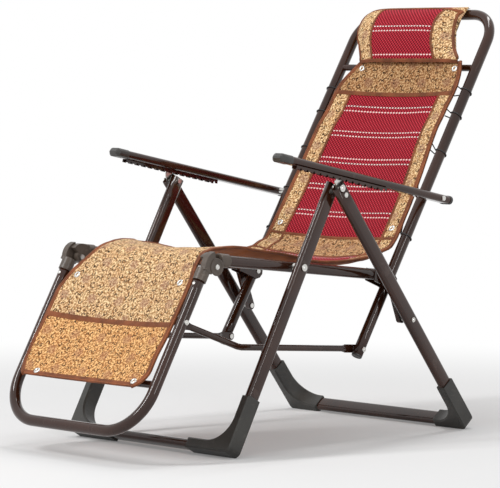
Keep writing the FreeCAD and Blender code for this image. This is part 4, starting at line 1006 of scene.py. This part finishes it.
def puffed(piece):
    """Cushion filled by a short cloth simulation; its back and its rims stay where they are."""
    remesh = piece.modifiers.new("even_cells", "REMESH")
    remesh.mode = "VOXEL"
    remesh.voxel_size = VOXEL
    bpy.context.view_layer.objects.active = piece
    with bpy.context.temp_override(object=piece, active_object=piece, selected_objects=[piece]):
        bpy.ops.object.modifier_apply(modifier=remesh.name)
    mesh = piece.data
    start = np.array([vertex.co for vertex in mesh.vertices])
    free = []
    for co in start:
        along, out = back_parts(Vector(co))
        right, left = cushion_edges(along, out)
        rim = min(co[0] - right, left - co[0], along - 0.642)
        share = min(1.0, max(0.0, rim / 0.030)) * min(1.0, max(0.0, (out - 0.030) / 0.014))
        free.append(share if along < 0.83 else 0.0)
    held = piece.vertex_groups.new(name="held")
    for index, share in enumerate(free):
        held.add([index], 1.0 - 0.92 * share, "REPLACE")
    cloth = piece.modifiers.new("filling", "CLOTH")
    for name, value in CLOTH.items():
        setattr(cloth.settings, name, value)
    cloth.settings.effector_weights.gravity = 0
    cloth.collision_settings.use_collision = False
    cloth.point_cache.frame_start = 1
    cloth.point_cache.frame_end = CLOTH_FRAMES
    scene = bpy.context.scene
    for frame_number in range(1, CLOTH_FRAMES + 1):
        scene.frame_set(frame_number)
        seen = piece.evaluated_get(bpy.context.evaluated_depsgraph_get())
    moved = np.array([vertex.co for vertex in seen.data.vertices])
    piece.modifiers.remove(cloth)
    scene.frame_set(1)
    step = (moved - start) * np.array(free)[:, None]
    length = np.linalg.norm(step, axis=1, keepdims=True)
    step *= np.minimum(1.0, MOST_PUFF / np.maximum(length, 1e-9))
    for vertex, co in zip(mesh.vertices, start + step):
        vertex.co = co
    for polygon in mesh.polygons:
        polygon.use_smooth = True


class LOUNGER_OT_pillow(bpy.types.Operator):
    """Head pillow that folds over the top bar, its bindings and its seam"""

    bl_idname = "lounger.pillow"
    bl_label = "Head pillow"

    def execute(self, context):
        finishes = materials()
        piece = mesh_piece("head_pillow_cushion", *shell(CUSHION_LINE, cushion_edges, 110, 48, 0.8),
                           [finishes["pillow_fabric"]])
        flap = mesh_piece("head_pillow_flap", *shell(FLAP_LINE, flap_edges, 64, 30, 0),
                          [finishes["pillow_fabric"]])
        puffed(piece)
        for part in (piece, flap):
            self.pattern(part.data)
            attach(part, "back")
        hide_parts("head_pillow")
        skin = BVHTree.FromPolygons([vertex.co for vertex in piece.data.vertices],
                                    [tuple(polygon.vertices) for polygon in piece.data.polygons])
        for side, sign in SIDES:
            for name, table, inset, wide, high in (("border", PILLOW_RED, 0, 0.007, 0.003),
                                                   ("binding", PILLOW_EDGES, 0.0035, 0.009, 0.005)):
                places = [(along, side_edge(edges_at(table, along), sign) - sign * inset)
                          for along in np.linspace(0.648, 0.815, 30)]
                self.ribbon(skin, f"pillow_{name}_{side}", places, wide, high)
        for name, along, low, high in (("low", 0.6455, -0.136, 0.206), ("top", 0.812, -0.184, 0.138)):
            places = [(along, x) for x in np.linspace(low, high, 44)]
            self.ribbon(skin, "pillow_seam_" + name, places, 0.010, 0.004)
        return {"FINISHED"}

    def pattern(self, mesh):
        """Places of the pattern and of the red panel on the pillow."""
        pattern = mesh.uv_layers.new(name="pattern").data
        rims = mesh.uv_layers.new(name="edges").data
        border = sizes().border
        for loop in mesh.loops:
            place = mesh.vertices[loop.vertex_index].co
            along, out = back_parts(place)
            over = max(0.0, 0.045 - out) if along > 0.78 else 0.0
            right, left = edges_at(PILLOW_RED, along)
            pattern[loop.index].uv = (place.x, along + over + 0.989)
            rims[loop.index].uv = (place.x - right + border, left - place.x + border)

    def ribbon(self, skin, name, places, wide, high):
        """Ribbon laid on the pillow's front through places given along the back and in X."""
        ray = -spot(0, BACK_OUT)
        path, outs = [], []
        for along, x in places:
            origin = spot(x, HINGE + BACK_UP * along + BACK_OUT * 0.16)
            hit, normal, _, _ = skin.ray_cast(origin, ray, 0.2)
            if hit is None:
                continue
            path.append(hit + normal * 0.0004)
            outs.append(normal)
        if len(path) < 4:
            raise RuntimeError("no pillow under the ribbon " + name)
        piece = sweep(name, path, crosswise(path, outs), wide, high, materials()["ribbon"], "back", segments=12)


def area_lamp(name, place, aim, size, power):
    lamp = bpy.data.lights.new(name, "AREA")
    lamp.shape = "RECTANGLE"
    lamp.size, lamp.size_y = size
    lamp.energy = power
    holder = placed(name, lamp)
    holder.location = place
    holder.rotation_euler = (Vector(aim) - Vector(place)).to_track_quat("-Z", "Y").to_euler()


class LOUNGER_OT_stage(bpy.types.Operator):
    """Pale floor, soft studio light and the camera"""

    bl_idname = "lounger.stage"
    bl_label = "Stage"

    def execute(self, context):
        scene = context.scene
        scene.view_settings.view_transform = "Standard"
        floor = mesh_piece("studio_floor", [(-30, -30, 0), (30, -30, 0), (30, 30, 0), (-30, 30, 0)],
                           [(0, 1, 2, 3)], [self.floor_finish()])
        world = bpy.data.worlds.new("studio")
        scene.world = world
        wire = blank(world)
        strength = SKY_STRENGTH + shown_plainly(wire) * (1 - SKY_STRENGTH)
        light = wire.add("ShaderNodeBackground", {}, {"Color": (1, 1, 1, 1), "Strength": strength})
        wire.add("ShaderNodeOutputWorld", {}, {"Surface": light})
        for lamp in LAMPS:
            area_lamp(*lamp)
        camera_data = bpy.data.cameras.new("photo_camera")
        camera_data.lens = sizes().lens
        camera_data.sensor_width = SENSOR
        camera_data.sensor_fit = "HORIZONTAL"
        camera = placed("photo_camera", camera_data)
        turn, tilt, roll = (math.radians(value) for value in CAMERA_ANGLES)
        target = Vector(CAMERA_TARGET)
        away = Vector((math.sin(turn) * math.cos(tilt), -math.cos(turn) * math.cos(tilt), math.sin(tilt)))
        look = (-away).to_track_quat("-Z", "Y").to_matrix().to_4x4()
        camera.matrix_world = (Matrix.Translation(target + away * CAMERA_DISTANCE) @ look
                               @ Matrix.Rotation(roll, 4, "Z"))
        scene.camera = camera
        return {"FINISHED"}

    def floor_finish(self):
        """White floor that keeps the lounger's shadow and fades into the background."""
        material = bpy.data.materials.new("studio_floor_paint")
        wire = blank(material)
        matt = wire.add("ShaderNodeBsdfDiffuse", {}, {"Color": (0.80, 0.80, 0.80, 1)})
        glow = wire.add("ShaderNodeEmission", {}, {"Color": (1, 1, 1, 1), "Strength": 1.0})
        share = shown_plainly(wire)
        place = object_place(wire)
        reach = place.add("ShaderNodeVectorMath", {"operation": "LENGTH"}, {0: place}, out="Value")
        faded = reach.rise(1.0, 2.6)
        mixed = wire.add("ShaderNodeMixShader", {}, {0: share * (0.12 + 0.88 * faded), 1: matt, 2: glow})
        wire.add("ShaderNodeOutputMaterial", {}, {"Surface": mixed})
        return material


STEPS = (LOUNGER_OT_frames, LOUNGER_OT_hardware, LOUNGER_OT_mat, LOUNGER_OT_trim, LOUNGER_OT_eyelets,
         LOUNGER_OT_pillow, LOUNGER_OT_stage)


class LOUNGER_PT_panel(bpy.types.Panel):
    """Sidebar panel with the lounger's steps, sizes and colours"""

    bl_label = "Folding lounger"
    bl_space_type = "VIEW_3D"
    bl_region_type = "UI"
    bl_category = "Lounger"

    def draw(self, context):
        for step in STEPS:
            self.layout.operator(step.bl_idname)
        for group in (context.scene.lounger_sizes, context.scene.lounger_colours):
            for name in group.__annotations__:
                self.layout.prop(group, name)


CLASSES = (LoungerSizes, LoungerColours, *STEPS, LOUNGER_PT_panel)


def register():
    for item in CLASSES:
        bpy.utils.register_class(item)
    bpy.types.Scene.lounger_sizes = PointerProperty(type=LoungerSizes)
    bpy.types.Scene.lounger_colours = PointerProperty(type=LoungerColours)


def unregister():
    del bpy.types.Scene.lounger_colours
    del bpy.types.Scene.lounger_sizes
    for item in reversed(CLASSES):
        bpy.utils.unregister_class(item)


def main():
    register()
    bpy.ops.lounger.frames()
    bpy.ops.lounger.hardware()
    bpy.ops.lounger.mat()
    bpy.ops.lounger.trim()
    bpy.ops.lounger.eyelets()
    bpy.ops.lounger.pillow()
    bpy.ops.lounger.stage()


if __name__ == "__main__":
    main()
